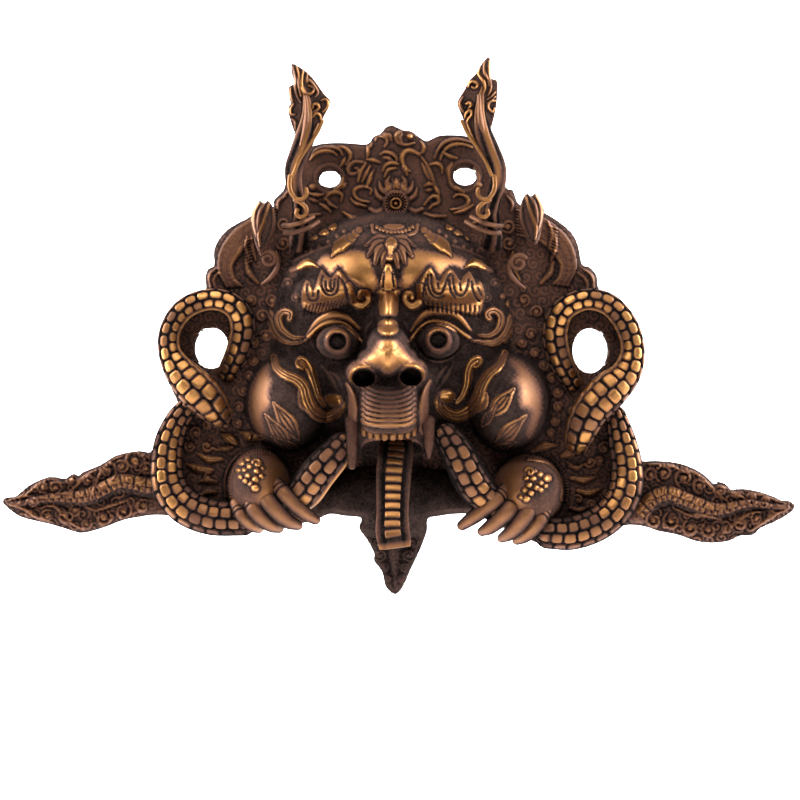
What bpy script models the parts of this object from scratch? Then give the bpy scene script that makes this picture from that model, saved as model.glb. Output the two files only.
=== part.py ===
"""A cast bronze guardian mask for a wall, held up by two nail holes in its crown.

The mask is one casting: a plate with a hollow face, two scaled snakes that run from the mouth through
the fists, two flame-tipped horns, ears and a pair of tails. It faces -Y, +Z is up and its flat back is y = 0.
The drawing below is in grid units: x to the right, z up and depth out of the wall, from the point midway
between the nail holes. One unit of x and z is MASK_WIDTH / DRAWN_WIDTH, one of depth FACE_DEPTH / DRAWN_DEPTH.
It is drawn as seen from EYE_DISTANCE in front of EYE, so what stands nearer is drawn larger.
"""

import math

import bmesh
import bpy
import numpy as np
from mathutils import Matrix

# Driving dimensions, in metres
MASK_WIDTH = 0.474
FACE_DEPTH = 0.104
PLATE_THICKNESS = 0.0060
WALL_THICKNESS = 0.0050
NAIL_HOLE_WIDTH = 0.0130
NAIL_HOLE_HEIGHT = 0.0108
LOOP_HOLE_WIDTH = 0.0210
LOOP_HOLE_HEIGHT = 0.0250
EYE_DISTANCE = 1.2
CASTING_VOXEL = 0.0015
CASTING_FACES = 8800

# The drawing's own extent, in its units
DRAWN_WIDTH = 792.0
DRAWN_DEPTH = 172.0
UNIT = MASK_WIDTH / DRAWN_WIDTH
DEPTH_UNIT = FACE_DEPTH / DRAWN_DEPTH
EYE = (2.0, -223.0)
PLATE = PLATE_THICKNESS / DEPTH_UNIT
GRID_STEP = 2.5
FAR_BELOW = -1000.0  # the depth of nothing

# The field behind the face is a little thicker than the plate and swells towards its middle
FIELD_THICKER = 3.0
FIELD_SWELL = 30.0
FIELD_MIDDLE = (-5, -195, 150, 110)
EDGE_ROUNDING = 7.0
EDGE_DEPTH = 0.75 * PLATE

# The hollow back starts below the crown, deepens at this slope, and is left out where it would be shallow
BEHIND_WALL = -5.0
HOLLOW_TOP = -36.0
HOLLOW_RISE = 2.5
SHALLOWEST_HOLLOW = 4.0

OUTLINE = [
    (-5, 52), (5, 47), (13, 46), (23, 39), (29, 36), (40, 41), (54, 42), (72, 40), (90, 31), (102, 17), (108, -10),
    (115, -13), (120, -26), (129, -30), (143, -34), (160, -44), (173, -55), (180, -68), (184, -87), (192, -90),
    (199, -99), (201, -112), (219, -126), (234, -148), (239, -175), (233, -200), (218, -226), (216, -238),
    (228, -255), (236, -278), (244, -284), (260, -284), (280, -286), (297, -292), (309, -300), (316, -307),
    (321, -305), (328, -307), (334, -313), (345, -312), (363, -315), (379, -321), (385, -324), (392, -324),
    (397, -329), (392, -336), (379, -344), (363, -351), (355, -358), (342, -359), (331, -364), (314, -366),
    (297, -364), (280, -358), (260, -354), (248, -350), (234, -348), (222, -350), (202, -360), (174, -368),
    (147, -368), (122, -359), (97, -347), (77, -338), (58, -337), (42, -339), (30, -342), (29, -354), (22, -373),
    (13, -392), (6, -408), (-1, -417), (-8, -415), (-13, -408), (-16, -395), (-24, -384), (-24, -376),
    (-31, -363), (-39, -351), (-37, -341), (-53, -339), (-68, -337), (-80, -342), (-98, -347), (-123, -353),
    (-153, -352), (-178, -353), (-203, -349), (-223, -340), (-243, -338), (-258, -340), (-274, -343),
    (-295, -351), (-315, -356), (-326, -354), (-345, -348), (-358, -345), (-377, -340), (-388, -333),
    (-395, -326), (-393, -321), (-382, -319), (-370, -309), (-350, -300), (-334, -302), (-326, -297),
    (-320, -299), (-315, -295), (-298, -288), (-281, -278), (-260, -274), (-248, -275), (-240, -263),
    (-232, -245), (-220, -230), (-226, -213), (-233, -191), (-234, -163), (-226, -141), (-211, -127),
    (-195, -120), (-192, -110), (-193, -101), (-190, -92), (-184, -88), (-184, -73), (-177, -59), (-167, -50),
    (-147, -39), (-136, -31), (-125, -30), (-124, -23), (-114, -12), (-111, 5), (-102, 20), (-85, 31),
    (-69, 34), (-51, 34), (-31, 33), (-25, 40), (-17, 44), (-12, 50),
]

# Each dome is centre x, centre z, half width, half height and the depth of its top
JAW = (-5, -325, 96, 36, 62)
JAW_FOOT = 20
FACE_DOMES = [
    (-8, -160, 126, 128, 96),
    (-8, -92, 88, 46, 112),
    (-60, -113, 46, 22, 120),
    (46, -111, 48, 22, 120),
    (-109, -225, 43, 49, 121),
    (110, -225, 42, 49, 121),
    (-9, -214, 64, 62, 130),
    (-10, -150, 13, 42, 136),
]
NOSE_DOMES = [(-11, -177, 26, 21, 168), (-35, -193, 19, 17, 150), (15, -193, 19, 17, 150)]
NOSE_FOOT = 90

# The eyes: centres, then the half sizes and depths of socket, eyeball and pupil
EYES = [(-61, -164), (42, -163)]
SOCKET = (25, 17, 20)
EYEBALL = (20, 17, 118)
EYEBALL_FOOT = 90
PUPIL = (8, 8, 7)

# The nostrils: centres, then their half sizes and depth
NOSTRILS = [(-35, -200), (15, -200)]
NOSTRIL = (11, 10, 34)

# The upper lip is a square-shouldered barrel: centre, half sizes, foot and rise
LIP = (-9, -230, 29, 28)
LIP_FOOT = 70
LIP_RISE = 76

# Each ridge is its half width, its height and the points of its middle line
PLATE_RIDGES = [
    (3.5, 5, [(-100, 4), (-95, 18), (-82, 27), (-66, 29), (-53, 25), (-50, 12)]),
    (3.5, 5, [(37, 20), (45, 33), (58, 38), (72, 36), (88, 26)]),
    (3.5, 5, [(-30, 32), (-31, 18), (-46, 13), (-50, 4), (-41, 6)]),
    (3.5, 5, [(24, 36), (24, 24), (12, 26), (4, 20), (11, 6)]),
    (3.5, 5, [(-27, -16), (-38, -10), (-44, -16), (-40, -23), (-28, -24)]),
    (3.5, 5, [(-147, -47), (-163, -58), (-175, -75), (-177, -95)]),
    (3.5, 5, [(-150, -58), (-162, -70), (-168, -86), (-164, -104)]),
    (3.5, 5, [(146, -42), (160, -53), (171, -68), (177, -88)]),
    (3.5, 5, [(148, -54), (158, -66), (165, -82), (160, -104)]),
    (10, 13, [(-238, -312), (-270, -312), (-288, -314), (-305, -319), (-326, -323), (-346, -321),
              (-362, -323)]),
    (10, 13, [(244, -333), (256, -321), (270, -318), (285, -323), (302, -330), (318, -334), (340, -329),
              (356, -330)]),
    (4, 5, [(-173, -309), (-171, -283), (-158, -269), (-136, -271)]),
    (4, 5, [(137, -278), (156, -284), (168, -300), (170, -321)]),
    (4, 5, [(-216, -288), (-203, -292), (-190, -293)]),
    (4, 5, [(-203, -274), (-192, -279), (-180, -279)]),
    (4, 5, [(-180, -252), (-172, -258), (-166, -264)]),
    (4, 5, [(156, -269), (170, -274), (176, -277)]),
    (4, 5, [(176, -301), (188, -302), (200, -296)]),
    (4, 5, [(184, -311), (196, -315), (203, -311)]),
    (9, 8, [(-3, -356), (-4, -380), (-3, -402)]),
]
FACE_RIDGES = [
    (9, 7, [(-94, -122), (-77, -107), (-55, -101), (-40, -108)]),
    (9, 7, [(24, -108), (45, -101), (68, -104), (84, -120)]),
    (7, 9, [(-34, -117), (-33, -118)]),
    (7, 9, [(11, -121), (12, -122)]),
    (3.5, 6, [(-91, -161), (-80, -149), (-62, -143), (-46, -148), (-37, -160)]),
    (3.5, 6, [(15, -163), (25, -150), (41, -142), (60, -148), (81, -165)]),
    (5.5, 9, [(-126, -182), (-115, -192), (-102, -200), (-89, -211), (-83, -228), (-70, -239), (-59, -232)]),
    (6, 9, [(-59, -232), (-58, -224), (-66, -221)]),
    (4, 7, [(-101, -185), (-95, -189), (-86, -197), (-81, -213), (-78, -227)]),
    (5.5, 9, [(105, -179), (94, -193), (81, -204), (76, -223), (63, -237), (48, -234), (41, -223)]),
    (6, 9, [(41, -223), (49, -216), (55, -223)]),
    (4, 7, [(77, -185), (80, -190), (72, -201), (69, -216), (61, -227)]),
    (4.5, 7, [(-102, -166), (-115, -163), (-122, -153), (-121, -143), (-113, -138), (-107, -144)]),
    (5.5, 8, [(-121, -161), (-130, -151), (-132, -135), (-137, -125), (-132, -120), (-124, -125)]),
    (4.5, 7, [(84, -163), (96, -157), (102, -145), (98, -134), (90, -136)]),
    (5.5, 8, [(89, -164), (104, -160), (114, -149), (122, -133), (127, -123), (119, -118)]),
    (5, 8, [(-46, -208), (-43, -228), (-47, -250)]),
    (5, 8, [(27, -206), (30, -228), (28, -250)]),
    (10, 7, [(-9, -66), (-9, -88), (-9, -110)]),
    (14, 6, [(-18, -74), (0, -74)]),
    (9, 9, [(-10, -112), (-10, -140)]),
    (13, 6, [(-2, -26), (-2, -28)]),
    (9, 7, [(-16, -51), (10, -51)]),
]

# Each rod is a list of (x, z, depth, radius); the plate is filled up to this share of its radius
WEB_SHARE = 0.85
SNAKE_RODS = [
    [(-170, -196, 22, 10), (-159, -172, 34, 12), (-155, -148, 40, 12.5), (-163, -130, 43, 11.5),
     (-182, -122, 42, 10.5), (-204, -126, 40, 10.5), (-220, -138, 40, 10.5), (-229, -157, 41, 10.5),
     (-228, -177, 43, 11.5), (-217, -196, 46, 16), (-203, -211, 49, 19), (-190, -224, 48, 18),
     (-180, -237, 40, 14)],
    [(-212, -232, 36, 11), (-222, -246, 36, 12.5), (-230, -270, 37, 15), (-230, -304, 39, 17),
     (-215, -328, 42, 18), (-188, -340, 46, 18), (-155, -342, 52, 17)],
    [(174, -205, 24, 10), (161, -180, 34, 12), (157, -153, 40, 12.5), (166, -132, 43, 11.5), (189, -122, 42, 10.5),
     (212, -128, 41, 11), (229, -149, 42, 11.5), (235, -174, 43, 12), (228, -197, 45, 15), (211, -214, 49, 19),
     (194, -232, 50, 18), (184, -251, 47, 16), (179, -266, 38, 12)],
    [(218, -238, 35, 10), (224, -263, 36, 14), (229, -290, 38, 16), (227, -314, 41, 17), (216, -334, 44, 17),
     (198, -348, 46, 17), (174, -356, 50, 17), (150, -356, 55, 16)],
    [(-56, -268, 92, 14), (-68, -282, 96, 17), (-80, -296, 92, 18), (-93, -313, 84, 18), (-112, -328, 72, 16)],
    [(49, -259, 92, 14), (60, -276, 96, 17), (69, -295, 94, 18), (80, -313, 86, 18), (98, -330, 72, 16)],
]
HAND_RODS = [
    [(-117, -311, 96, 10.5), (-98, -328, 92, 9), (-82, -342, 76, 6.5)],
    [(-133, -320, 98, 10.5), (-116, -336, 92, 9), (-103, -348, 74, 6.5)],
    [(-147, -329, 94, 10), (-132, -343, 86, 9), (-121, -353, 68, 6.5)],
    [(-159, -333, 84, 9), (-148, -345, 76, 8), (-137, -354, 62, 6)],
    [(112, -311, 98, 11), (84, -330, 94, 9), (58, -351, 84, 3.5)],
    [(118, -329, 98, 10), (100, -343, 90, 9), (82, -355, 74, 6.5)],
    [(133, -338, 94, 10), (112, -351, 84, 9), (94, -361, 68, 6.5)],
    [(146, -346, 84, 9), (127, -359, 74, 8), (110, -366, 60, 6)],
]
HORN_RODS = [
    [(-98, -66, 27, 15), (-98, -52, 48, 15), (-98, -28, 66, 12), (-101, -10, 74, 10), (-100, 8, 80, 9.5),
     (-97, 26, 84, 9.5), (-93, 44, 86, 9.5), (-90, 62, 88, 9), (-94, 84, 89, 7), (-104, 104, 91, 4.5),
     (-107, 113, 92, 3)],
    [(92, -66, 27, 15), (92, -52, 48, 15), (94, -28, 66, 12), (99, -8, 74, 10), (98, 8, 80, 9.5),
     (91, 22, 84, 9.5), (83, 40, 86, 9.5), (80, 60, 88, 9), (82, 86, 89, 7), (88, 108, 91, 4.5), (91, 119, 92, 3)],
]
HORN_FLAMES = [
    [(-107, 114), (-97, 107), (-88, 98), (-76, 84), (-69, 76), (-73, 62), (-82, 42), (-100, 38), (-105, 47),
     (-110, 62), (-108, 76), (-109, 86), (-104, 94)],
    [(91, 120), (93, 106), (98, 96), (99, 86), (98, 70), (94, 52), (89, 40), (72, 44), (67, 56), (59, 72),
     (67, 90), (76, 102), (84, 113)],
]
FLAME_BACK = 82
FLAME_FRONT = 93
TONGUE_ROD = [(-5, -266, 74, 9), (-4, -280, 96, 9), (-4, -300, 112, 9), (-5, -330, 128, 9), (-5, -362, 140, 8)]
TONGUE_SIDE = 8.5
FANG_RODS = [
    [(-45, -240, 92, 9), (-46, -256, 104, 6.5), (-46, -272, 108, 6), (-46, -288, 106, 4.5)],
    [(29, -240, 92, 9), (31, -256, 104, 6.5), (31, -268, 108, 5.5), (31, -280, 106, 2.5)],
]
EAR_RODS = [
    [(-137, -108, 30, 9), (-134, -86, 40, 12), (-134, -62, 54, 13), (-134, -42, 64, 11), (-134, -27, 70, 5)],
    [(-150, -72, 26, 4), (-150, -90, 32, 6), (-146, -104, 28, 4)],
    [(126, -106, 30, 9), (129, -84, 40, 12), (131, -58, 54, 12), (134, -38, 64, 9), (138, -18, 70, 4)],
    [(151, -50, 24, 4), (154, -72, 30, 6), (150, -90, 26, 4)],
]
# Each ball is x, z, depth and its half sizes along x, depth and z
FISTS = [(-136, -302, 74, 32, 32, 28), (126, -303, 74, 34, 32, 28)]
BALLS = [
    (-139, -74, 64, 5.5, 8, 7),
    (-130, -82, 58, 9, 12, 9),
    (130, -72, 64, 7, 8, 6),
    (121, -82, 58, 9, 12, 9),
    (-5, -268, 68, 15, 38, 14),
]
# The plate rises to meet a fist up to this share of its half sizes
FIST_ROOT = 0.9

# Each bead on the face is x, z and its half sizes along x and z
BEAD_HALF_DEPTH = 6
FACE_BEADS = [
    (-57, -68, 10, 9),
    (54, -68, 10, 9),
    (-85, -87, 9, 6),
    (78, -87, 10, 6),
    (-86, -59, 6, 6),
    (-75, -53, 6, 6),
    (66, -52, 6, 6),
    (77, -57, 6, 6),
    (-10, -150, 10, 10),
]
# Each hole is x, z and the depth at which it is drawn
NAIL_HOLES = [(-68, -1, 10), (67, 1, 10)]
LOOP_HOLES = [(-187, -171, 20), (193, -174, 20)]

# The open mouth is centre x, centre z, half width and half height, sunk down to its floor
MOUTH = (-6, -281, 30, 17)
MOUTH_FLOOR = 34


def smooth_max(a, b, width):
    """The greater of two surfaces, with a fillet of that width where they meet."""
    return 0.5 * (a + b + np.sqrt((a - b) ** 2 + width**2))


def dome(x, z, shape, foot=0.0):
    """The depth of an elliptical dome standing on foot, and far below everything outside it."""
    cx, cz, rx, rz, top = shape
    inside = 1 - ((x - cx) / rx) ** 2 - ((z - cz) / rz) ** 2
    return np.where(inside > 0, foot + (top - foot) * np.sqrt(np.clip(inside, 0, 1)), FAR_BELOW)


def bump(x, z, cx, cz, rx, rz):
    """A soft round weight, 1 at its centre."""
    return np.exp(-(((x - cx) / rx) ** 2) - ((z - cz) / rz) ** 2)


def box_weight(x, z, shape, steep):
    """A weight that is high inside a box with round corners, and 0 outside it."""
    cx, cz, rx, rz = shape
    return np.clip(steep * (1 - np.abs((x - cx) / rx) ** 4 - np.abs((z - cz) / rz) ** 4), 0, 1)


def smooth_line(points, steps=6):
    """Points along a smooth curve through the given ones."""
    p = np.array(points, float)
    p = np.vstack([2 * p[0] - p[1], p, 2 * p[-1] - p[-2]])
    t = np.arange(steps)[:, None] / steps
    runs = [
        0.5 * (2 * b + (c - a) * t + (2 * a - 5 * b + 4 * c - d) * t**2 + (3 * b - a - 3 * c + d) * t**3)
        for a, b, c, d in zip(p, p[1:], p[2:], p[3:])
    ]
    return np.vstack([*runs, p[-2]])


def nearest(x, z, line):
    """For each point its distance to a line, and the nearest place on the line."""
    best = np.full(x.shape, np.inf)
    place = np.zeros((*x.shape, len(line[0])))
    for start, end in zip(line[:-1], line[1:]):
        dx, dz = end[0] - start[0], end[1] - start[1]
        share = np.clip(((x - start[0]) * dx + (z - start[1]) * dz) / (dx * dx + dz * dz + 1e-12), 0, 1)
        here = start + share[..., None] * (end - start)
        away = np.hypot(x - here[..., 0], z - here[..., 1])
        closer = away < best
        best[closer] = away[closer]
        place[closer] = here[closer]
    return best, place


def inside_outline(x, z, line):
    """True for each point inside a closed line."""
    odd = np.zeros(x.shape, bool)
    for (ax, az), (bx, bz) in zip(line[:-1], line[1:]):
        if az == bz:
            continue
        crosses = ((az > z) != (bz > z)) & (x < ax + (z - az) * (bx - ax) / (bz - az))
        odd ^= crosses
    return odd


def add_ridges(depth, x, z, ridges):
    """Raises rounded ridges on a surface."""
    for half_width, height, points in ridges:
        away, _ = nearest(x, z, smooth_line(points, 4))
        depth = depth + height * np.sqrt(np.clip(1 - (away / half_width) ** 2, 0, 1))
    return depth


def add_webs(depth, x, z, rods):
    """Fills the plate up to the middle of each rod that lies along it."""
    for points in rods:
        away, place = nearest(x, z, smooth_line(points, 4))
        depth = np.where(away < WEB_SHARE * place[..., 3], np.maximum(depth, place[..., 2]), depth)
    return depth


def face_depth(x, z):
    """How far the face stands out of the wall, apart from its mouth."""
    depth = np.full(x.shape, FAR_BELOW)
    for shape in FACE_DOMES:
        depth = smooth_max(depth, dome(x, z, shape), 9)
    for cx, cz in EYES:
        depth = depth - SOCKET[2] * bump(x, z, cx, cz, *SOCKET[:2])
        depth = smooth_max(depth, dome(x, z, (cx, cz, *EYEBALL), EYEBALL_FOOT), 2)
        depth = depth - PUPIL[2] * bump(x, z, cx, cz, *PUPIL[:2])
    lip = box_weight(x, z, LIP, 1)
    depth = smooth_max(depth, np.where(lip > 0, LIP_FOOT + LIP_RISE * lip**0.25, FAR_BELOW), 5)
    for shape in NOSE_DOMES:
        depth = smooth_max(depth, dome(x, z, shape, NOSE_FOOT), 6)
    rx, rz, sunk = NOSTRIL
    for cx, cz in NOSTRILS:
        depth = depth - sunk * np.clip(1.6 - 1.6 * np.hypot((x - cx) / rx, (z - cz) / rz) ** 2, 0, 1)
    return add_ridges(depth, x, z, FACE_RIDGES)


def front_depth(x, z, rim):
    """The front of the plate and face, from how far each point is inside the outline."""
    field = PLATE + FIELD_THICKER + FIELD_SWELL * bump(x, z, *FIELD_MIDDLE)
    field = add_ridges(field, x, z, PLATE_RIDGES)
    field = smooth_max(field, dome(x, z, JAW, JAW_FOOT), 8)
    depth = smooth_max(field, face_depth(x, z), 8)
    depth = depth + (np.minimum(depth, MOUTH_FLOOR) - depth) * box_weight(x, z, MOUTH, 4)
    edge = np.clip(rim / EDGE_ROUNDING, 0, 1)
    rounded = np.sqrt(1 - (1 - edge) ** 2)
    depth = EDGE_DEPTH + (depth - EDGE_DEPTH) * rounded
    for cx, cz, middle, rx, _, rz in FISTS:
        depth = smooth_max(depth, dome(x, z, (cx, cz, FIST_ROOT * rx, FIST_ROOT * rz, middle)), 3)
    return add_webs(depth, x, z, [*SNAKE_RODS, *HAND_RODS, *EAR_RODS])


def lowest_around(depth, reach):
    """The least depth within a square of cells around each one."""
    for axis in (0, 1):
        depth = np.min([np.roll(depth, shift, axis) for shift in range(-reach, reach + 1)], axis=0)
    return depth


def blurred(depth, reach, times):
    """The mean depth of a square of cells around each one, taken several times over."""
    for _ in range(times):
        for axis in (0, 1):
            depth = np.mean([np.roll(depth, shift, axis) for shift in range(-reach, reach + 1)], axis=0)
    return depth


def back_depth(z, front):
    """The back: behind the wall plane along the rim and crown, and a hollow under the rest of the front."""
    wall = WALL_THICKNESS / DEPTH_UNIT
    reach = int(round(WALL_THICKNESS / UNIT / GRID_STEP))
    smooth = blurred(lowest_around(front, reach + 1), 2, 3)
    hollow = np.minimum(smooth, lowest_around(front, reach - 1)) - wall
    hollow = np.minimum(hollow, HOLLOW_RISE * (HOLLOW_TOP - z))
    return np.where(hollow > SHALLOWEST_HOLLOW, hollow, BEHIND_WALL)


def casting_body():
    """The plate and face as a closed bmesh: a grid cut to the outline, its front raised and its back sunk."""
    line = smooth_line([*OUTLINE, OUTLINE[0]], 3)
    low, high = line.min(0) - GRID_STEP * 3, line.max(0) + GRID_STEP * 3
    columns, rows = np.ceil((high - low) / GRID_STEP).astype(int)
    bm = bmesh.new()
    bmesh.ops.create_grid(bm, x_segments=columns, y_segments=rows, size=0.5)
    flat = np.array([v.co for v in bm.verts])
    x = low[0] + (flat[:, 0] + 0.5) * (high[0] - low[0])
    z = low[1] + (flat[:, 1] + 0.5) * (high[1] - low[1])
    lattice = (rows + 1, columns + 1)
    away, on_line = nearest(x, z, line)
    within = inside_outline(x, z, line)
    rim = np.where(within, away, 0)
    front = np.where(within, front_depth(x, z, rim), 0)
    back = back_depth(z.reshape(lattice), front.reshape(lattice)).ravel()
    edge = away < 0.6 * GRID_STEP
    keep = within | edge
    x, z = np.where(edge, on_line[:, 0], x), np.where(edge, on_line[:, 1], z)
    front_layer = bm.verts.layers.float.new("front")
    for vert, vx, vz, behind, before in zip(bm.verts, x, z, back, front):
        vert.co = (vx, -behind, vz)
        vert[front_layer] = before
    bmesh.ops.delete(bm, geom=[v for v, kept in zip(bm.verts, keep) if not kept], context="VERTS")
    made = bmesh.ops.extrude_face_region(bm, geom=bm.faces[:], use_keep_orig=True)
    for vert in made["geom"]:
        if isinstance(vert, bmesh.types.BMVert):
            vert.co.y = -vert[front_layer]
    bmesh.ops.recalc_face_normals(bm, faces=bm.faces[:])
    return bm


def add_rod(bm, points):
    """A round rod through points of the drawing, with closed ends."""
    curve = bpy.data.curves.new("rod", "CURVE")
    curve.dimensions = "3D"
    curve.bevel_depth = 1.0
    curve.bevel_resolution = 4
    curve.use_fill_caps = True
    curve.resolution_u = 6
    spline = curve.splines.new("BEZIER")
    spline.radius_interpolation = "CARDINAL"
    spline.bezier_points.add(len(points) - 1)
    for knot, (x, z, depth, radius) in zip(spline.bezier_points, points):
        knot.co = (x, -depth, z)
        knot.radius = radius
        knot.handle_left_type = knot.handle_right_type = "AUTO"
    rod = bpy.data.objects.new("rod", curve)
    bpy.context.scene.collection.objects.link(rod)
    bpy.context.view_layer.update()
    shape = rod.evaluated_get(bpy.context.evaluated_depsgraph_get())
    bm.from_mesh(shape.to_mesh())
    shape.to_mesh_clear()
    bpy.data.objects.remove(rod)
    bpy.data.curves.remove(curve)
    add_ball(bm, (*points[0][:3], *[points[0][3]] * 3))
    add_ball(bm, (*points[-1][:3], *[points[-1][3]] * 3))


def add_ball(bm, ball):
    x, z, depth, rx, ry, rz = ball
    made = bmesh.ops.create_icosphere(bm, subdivisions=3, radius=1)["verts"]
    bmesh.ops.scale(bm, verts=made, vec=(rx, ry, rz))
    bmesh.ops.translate(bm, verts=made, vec=(x, -depth, z))


def add_slab(bm, outline, back, front):
    """A flat leaf of metal between two depths."""
    line = smooth_line([*outline, outline[0]], 3)[:-1]
    ring = [bm.verts.new((x, -back, z)) for x, z in line]
    face = bm.faces.new(ring)
    made = bmesh.ops.extrude_face_region(bm, geom=[face], use_keep_orig=True)
    raised = [g for g in made["geom"] if isinstance(g, bmesh.types.BMVert)]
    bmesh.ops.translate(bm, verts=raised, vec=(0, back - front, 0))


def add_round_parts(bm):
    """Everything round that is cast on to the plate."""
    for points in [*SNAKE_RODS, *HAND_RODS, *HORN_RODS, *FANG_RODS, *EAR_RODS]:
        add_rod(bm, points)
    for side in (-TONGUE_SIDE, 0, TONGUE_SIDE):
        add_rod(bm, [(x + side, z, depth, radius) for x, z, depth, radius in TONGUE_ROD])
    for outline in HORN_FLAMES:
        add_slab(bm, outline, FLAME_BACK, FLAME_FRONT)
    for ball in [*FISTS, *BALLS]:
        add_ball(bm, ball)
    for x, z, rx, rz in FACE_BEADS:
        surface = front_depth(np.array([float(x)]), np.array([float(z)]), np.array([DRAWN_WIDTH]))[0]
        add_ball(bm, (x, z, surface, rx, BEAD_HALF_DEPTH, rz))


def real_place(x, z, depth):
    """The real x and z, in metres, of a point that is drawn as seen from the eye."""
    near = 1 - depth * DEPTH_UNIT / EYE_DISTANCE
    return (EYE[0] + (x - EYE[0]) * near) * UNIT, (EYE[1] + (z - EYE[1]) * near) * UNIT


def new_object(name, bm):
    mesh = bpy.data.meshes.new(name)
    bm.to_mesh(mesh)
    bm.free()
    made = bpy.data.objects.new(name, mesh)
    bpy.context.scene.collection.objects.link(made)
    return made


def cutter(name, bm):
    """A solid that only cuts others."""
    bmesh.ops.recalc_face_normals(bm, faces=bm.faces[:])
    made = new_object(name, bm)
    made.hide_render = True
    made.display_type = "WIRE"
    return made


def hole_cutter(name, hole, width, height, sides=20):
    """An oval bar through the whole mask at a place of the drawing, given with its depth there."""
    x, z = real_place(*hole)
    bm = bmesh.new()
    bmesh.ops.create_cone(
        bm, cap_ends=True, segments=sides, radius1=0.5, radius2=0.5, depth=FACE_DEPTH * 3
    )
    bmesh.ops.scale(bm, verts=bm.verts, vec=(width, height, 1))
    bmesh.ops.rotate(bm, verts=bm.verts, matrix=Matrix.Rotation(math.radians(90), 3, "X"))
    bmesh.ops.translate(bm, verts=bm.verts, vec=(x, 0, z))
    return cutter(name, bm)


def wall_cutter():
    """A block behind the wall plane, well past the mask's edges, that cuts the back flat."""
    wide = 2 * MASK_WIDTH
    bm = bmesh.new()
    bmesh.ops.create_cube(bm, size=wide)
    bmesh.ops.translate(bm, verts=bm.verts, vec=(0, wide / 2, EYE[1] * UNIT))
    return cutter("wall_cutter", bm)


def bronze():
    material = bpy.data.materials.new("antique_bronze")
    material.use_nodes = True
    shader = material.node_tree.nodes["Principled BSDF"]
    shader.inputs["Base Color"].default_value = (0.115, 0.060, 0.038, 1)
    shader.inputs["Metallic"].default_value = 0.85
    shader.inputs["Roughness"].default_value = 0.42
    return material


def build_mask():
    bm = casting_body()
    add_round_parts(bm)
    for vert in bm.verts:
        x, z = real_place(vert.co.x, vert.co.z, -vert.co.y)
        vert.co = (x, vert.co.y * DEPTH_UNIT, z)
    mask = new_object("mask", bm)
    mask.data.materials.append(bronze())
    fuse = mask.modifiers.new("one_casting", "REMESH")
    fuse.mode = "VOXEL"
    fuse.voxel_size = CASTING_VOXEL
    soften = mask.modifiers.new("soften", "SMOOTH")
    soften.factor = 0.5
    soften.iterations = 1
    lighten = mask.modifiers.new("fewer_faces", "DECIMATE")
    lighten.ratio = 1.0
    bpy.context.view_layer.update()
    evaluated = mask.evaluated_get(bpy.context.evaluated_depsgraph_get())
    lighten.ratio = CASTING_FACES / (2 * len(evaluated.data.polygons))
    cutters = [wall_cutter()]
    for side, hole in zip(("left", "right"), NAIL_HOLES):
        cutters.append(hole_cutter(f"nail_hole_{side}", hole, NAIL_HOLE_WIDTH, NAIL_HOLE_HEIGHT))
    for side, hole in zip(("left", "right"), LOOP_HOLES):
        cutters.append(hole_cutter(f"loop_hole_{side}", hole, LOOP_HOLE_WIDTH, LOOP_HOLE_HEIGHT))
    for tool in cutters:
        cut = mask.modifiers.new(tool.name, "BOOLEAN")
        cut.operation = "DIFFERENCE"
        cut.object = tool
        cut.solver = "EXACT"


def main():
    for old in list(bpy.data.objects):
        bpy.data.objects.remove(old)
    build_mask()


main()
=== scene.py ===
import math

import bmesh
import bpy
import numpy as np
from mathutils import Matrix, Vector


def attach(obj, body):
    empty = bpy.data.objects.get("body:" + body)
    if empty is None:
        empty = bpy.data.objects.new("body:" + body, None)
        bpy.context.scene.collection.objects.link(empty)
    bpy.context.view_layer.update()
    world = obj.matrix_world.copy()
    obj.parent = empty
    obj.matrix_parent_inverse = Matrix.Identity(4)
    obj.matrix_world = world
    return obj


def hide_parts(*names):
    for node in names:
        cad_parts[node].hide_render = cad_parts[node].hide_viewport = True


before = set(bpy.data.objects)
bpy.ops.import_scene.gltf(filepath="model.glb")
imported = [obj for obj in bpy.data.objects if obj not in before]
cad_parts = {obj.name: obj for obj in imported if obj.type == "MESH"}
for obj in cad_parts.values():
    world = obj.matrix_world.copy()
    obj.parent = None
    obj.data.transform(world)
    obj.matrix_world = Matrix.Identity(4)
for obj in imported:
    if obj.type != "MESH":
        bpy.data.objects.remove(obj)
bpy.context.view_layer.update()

# The drawing is on a grid of its own: u to the right, v down, and depth out of the wall.
# It is as seen from eyeDistance in front, so what is nearer is drawn larger.
drawing = {
    "unit": 0.474 / 792,  # metres to a unit of u or v: the mask is 792 units wide
    "depthUnit": 0.104 / 172,  # metres to a unit of depth
    "origin": (398.0, 177.0),  # midway between the nail holes
    "eye": (400.0, 400.0),
    "eyeDistance": 1.2,
}


def placed(u, v, depth):  # x, y and z in metres of points of the drawing
    near = 1 - depth * drawing["depthUnit"] / drawing["eyeDistance"]
    eyeU, eyeV = drawing["eye"]
    x = (eyeU + (u - eyeU) * near - drawing["origin"][0]) * drawing["unit"]
    z = (drawing["origin"][1] - eyeV - (v - eyeV) * near) * drawing["unit"]
    return np.stack([x, -depth * drawing["depthUnit"], z], -1)


# Lines and surfaces of the drawing.


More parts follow.
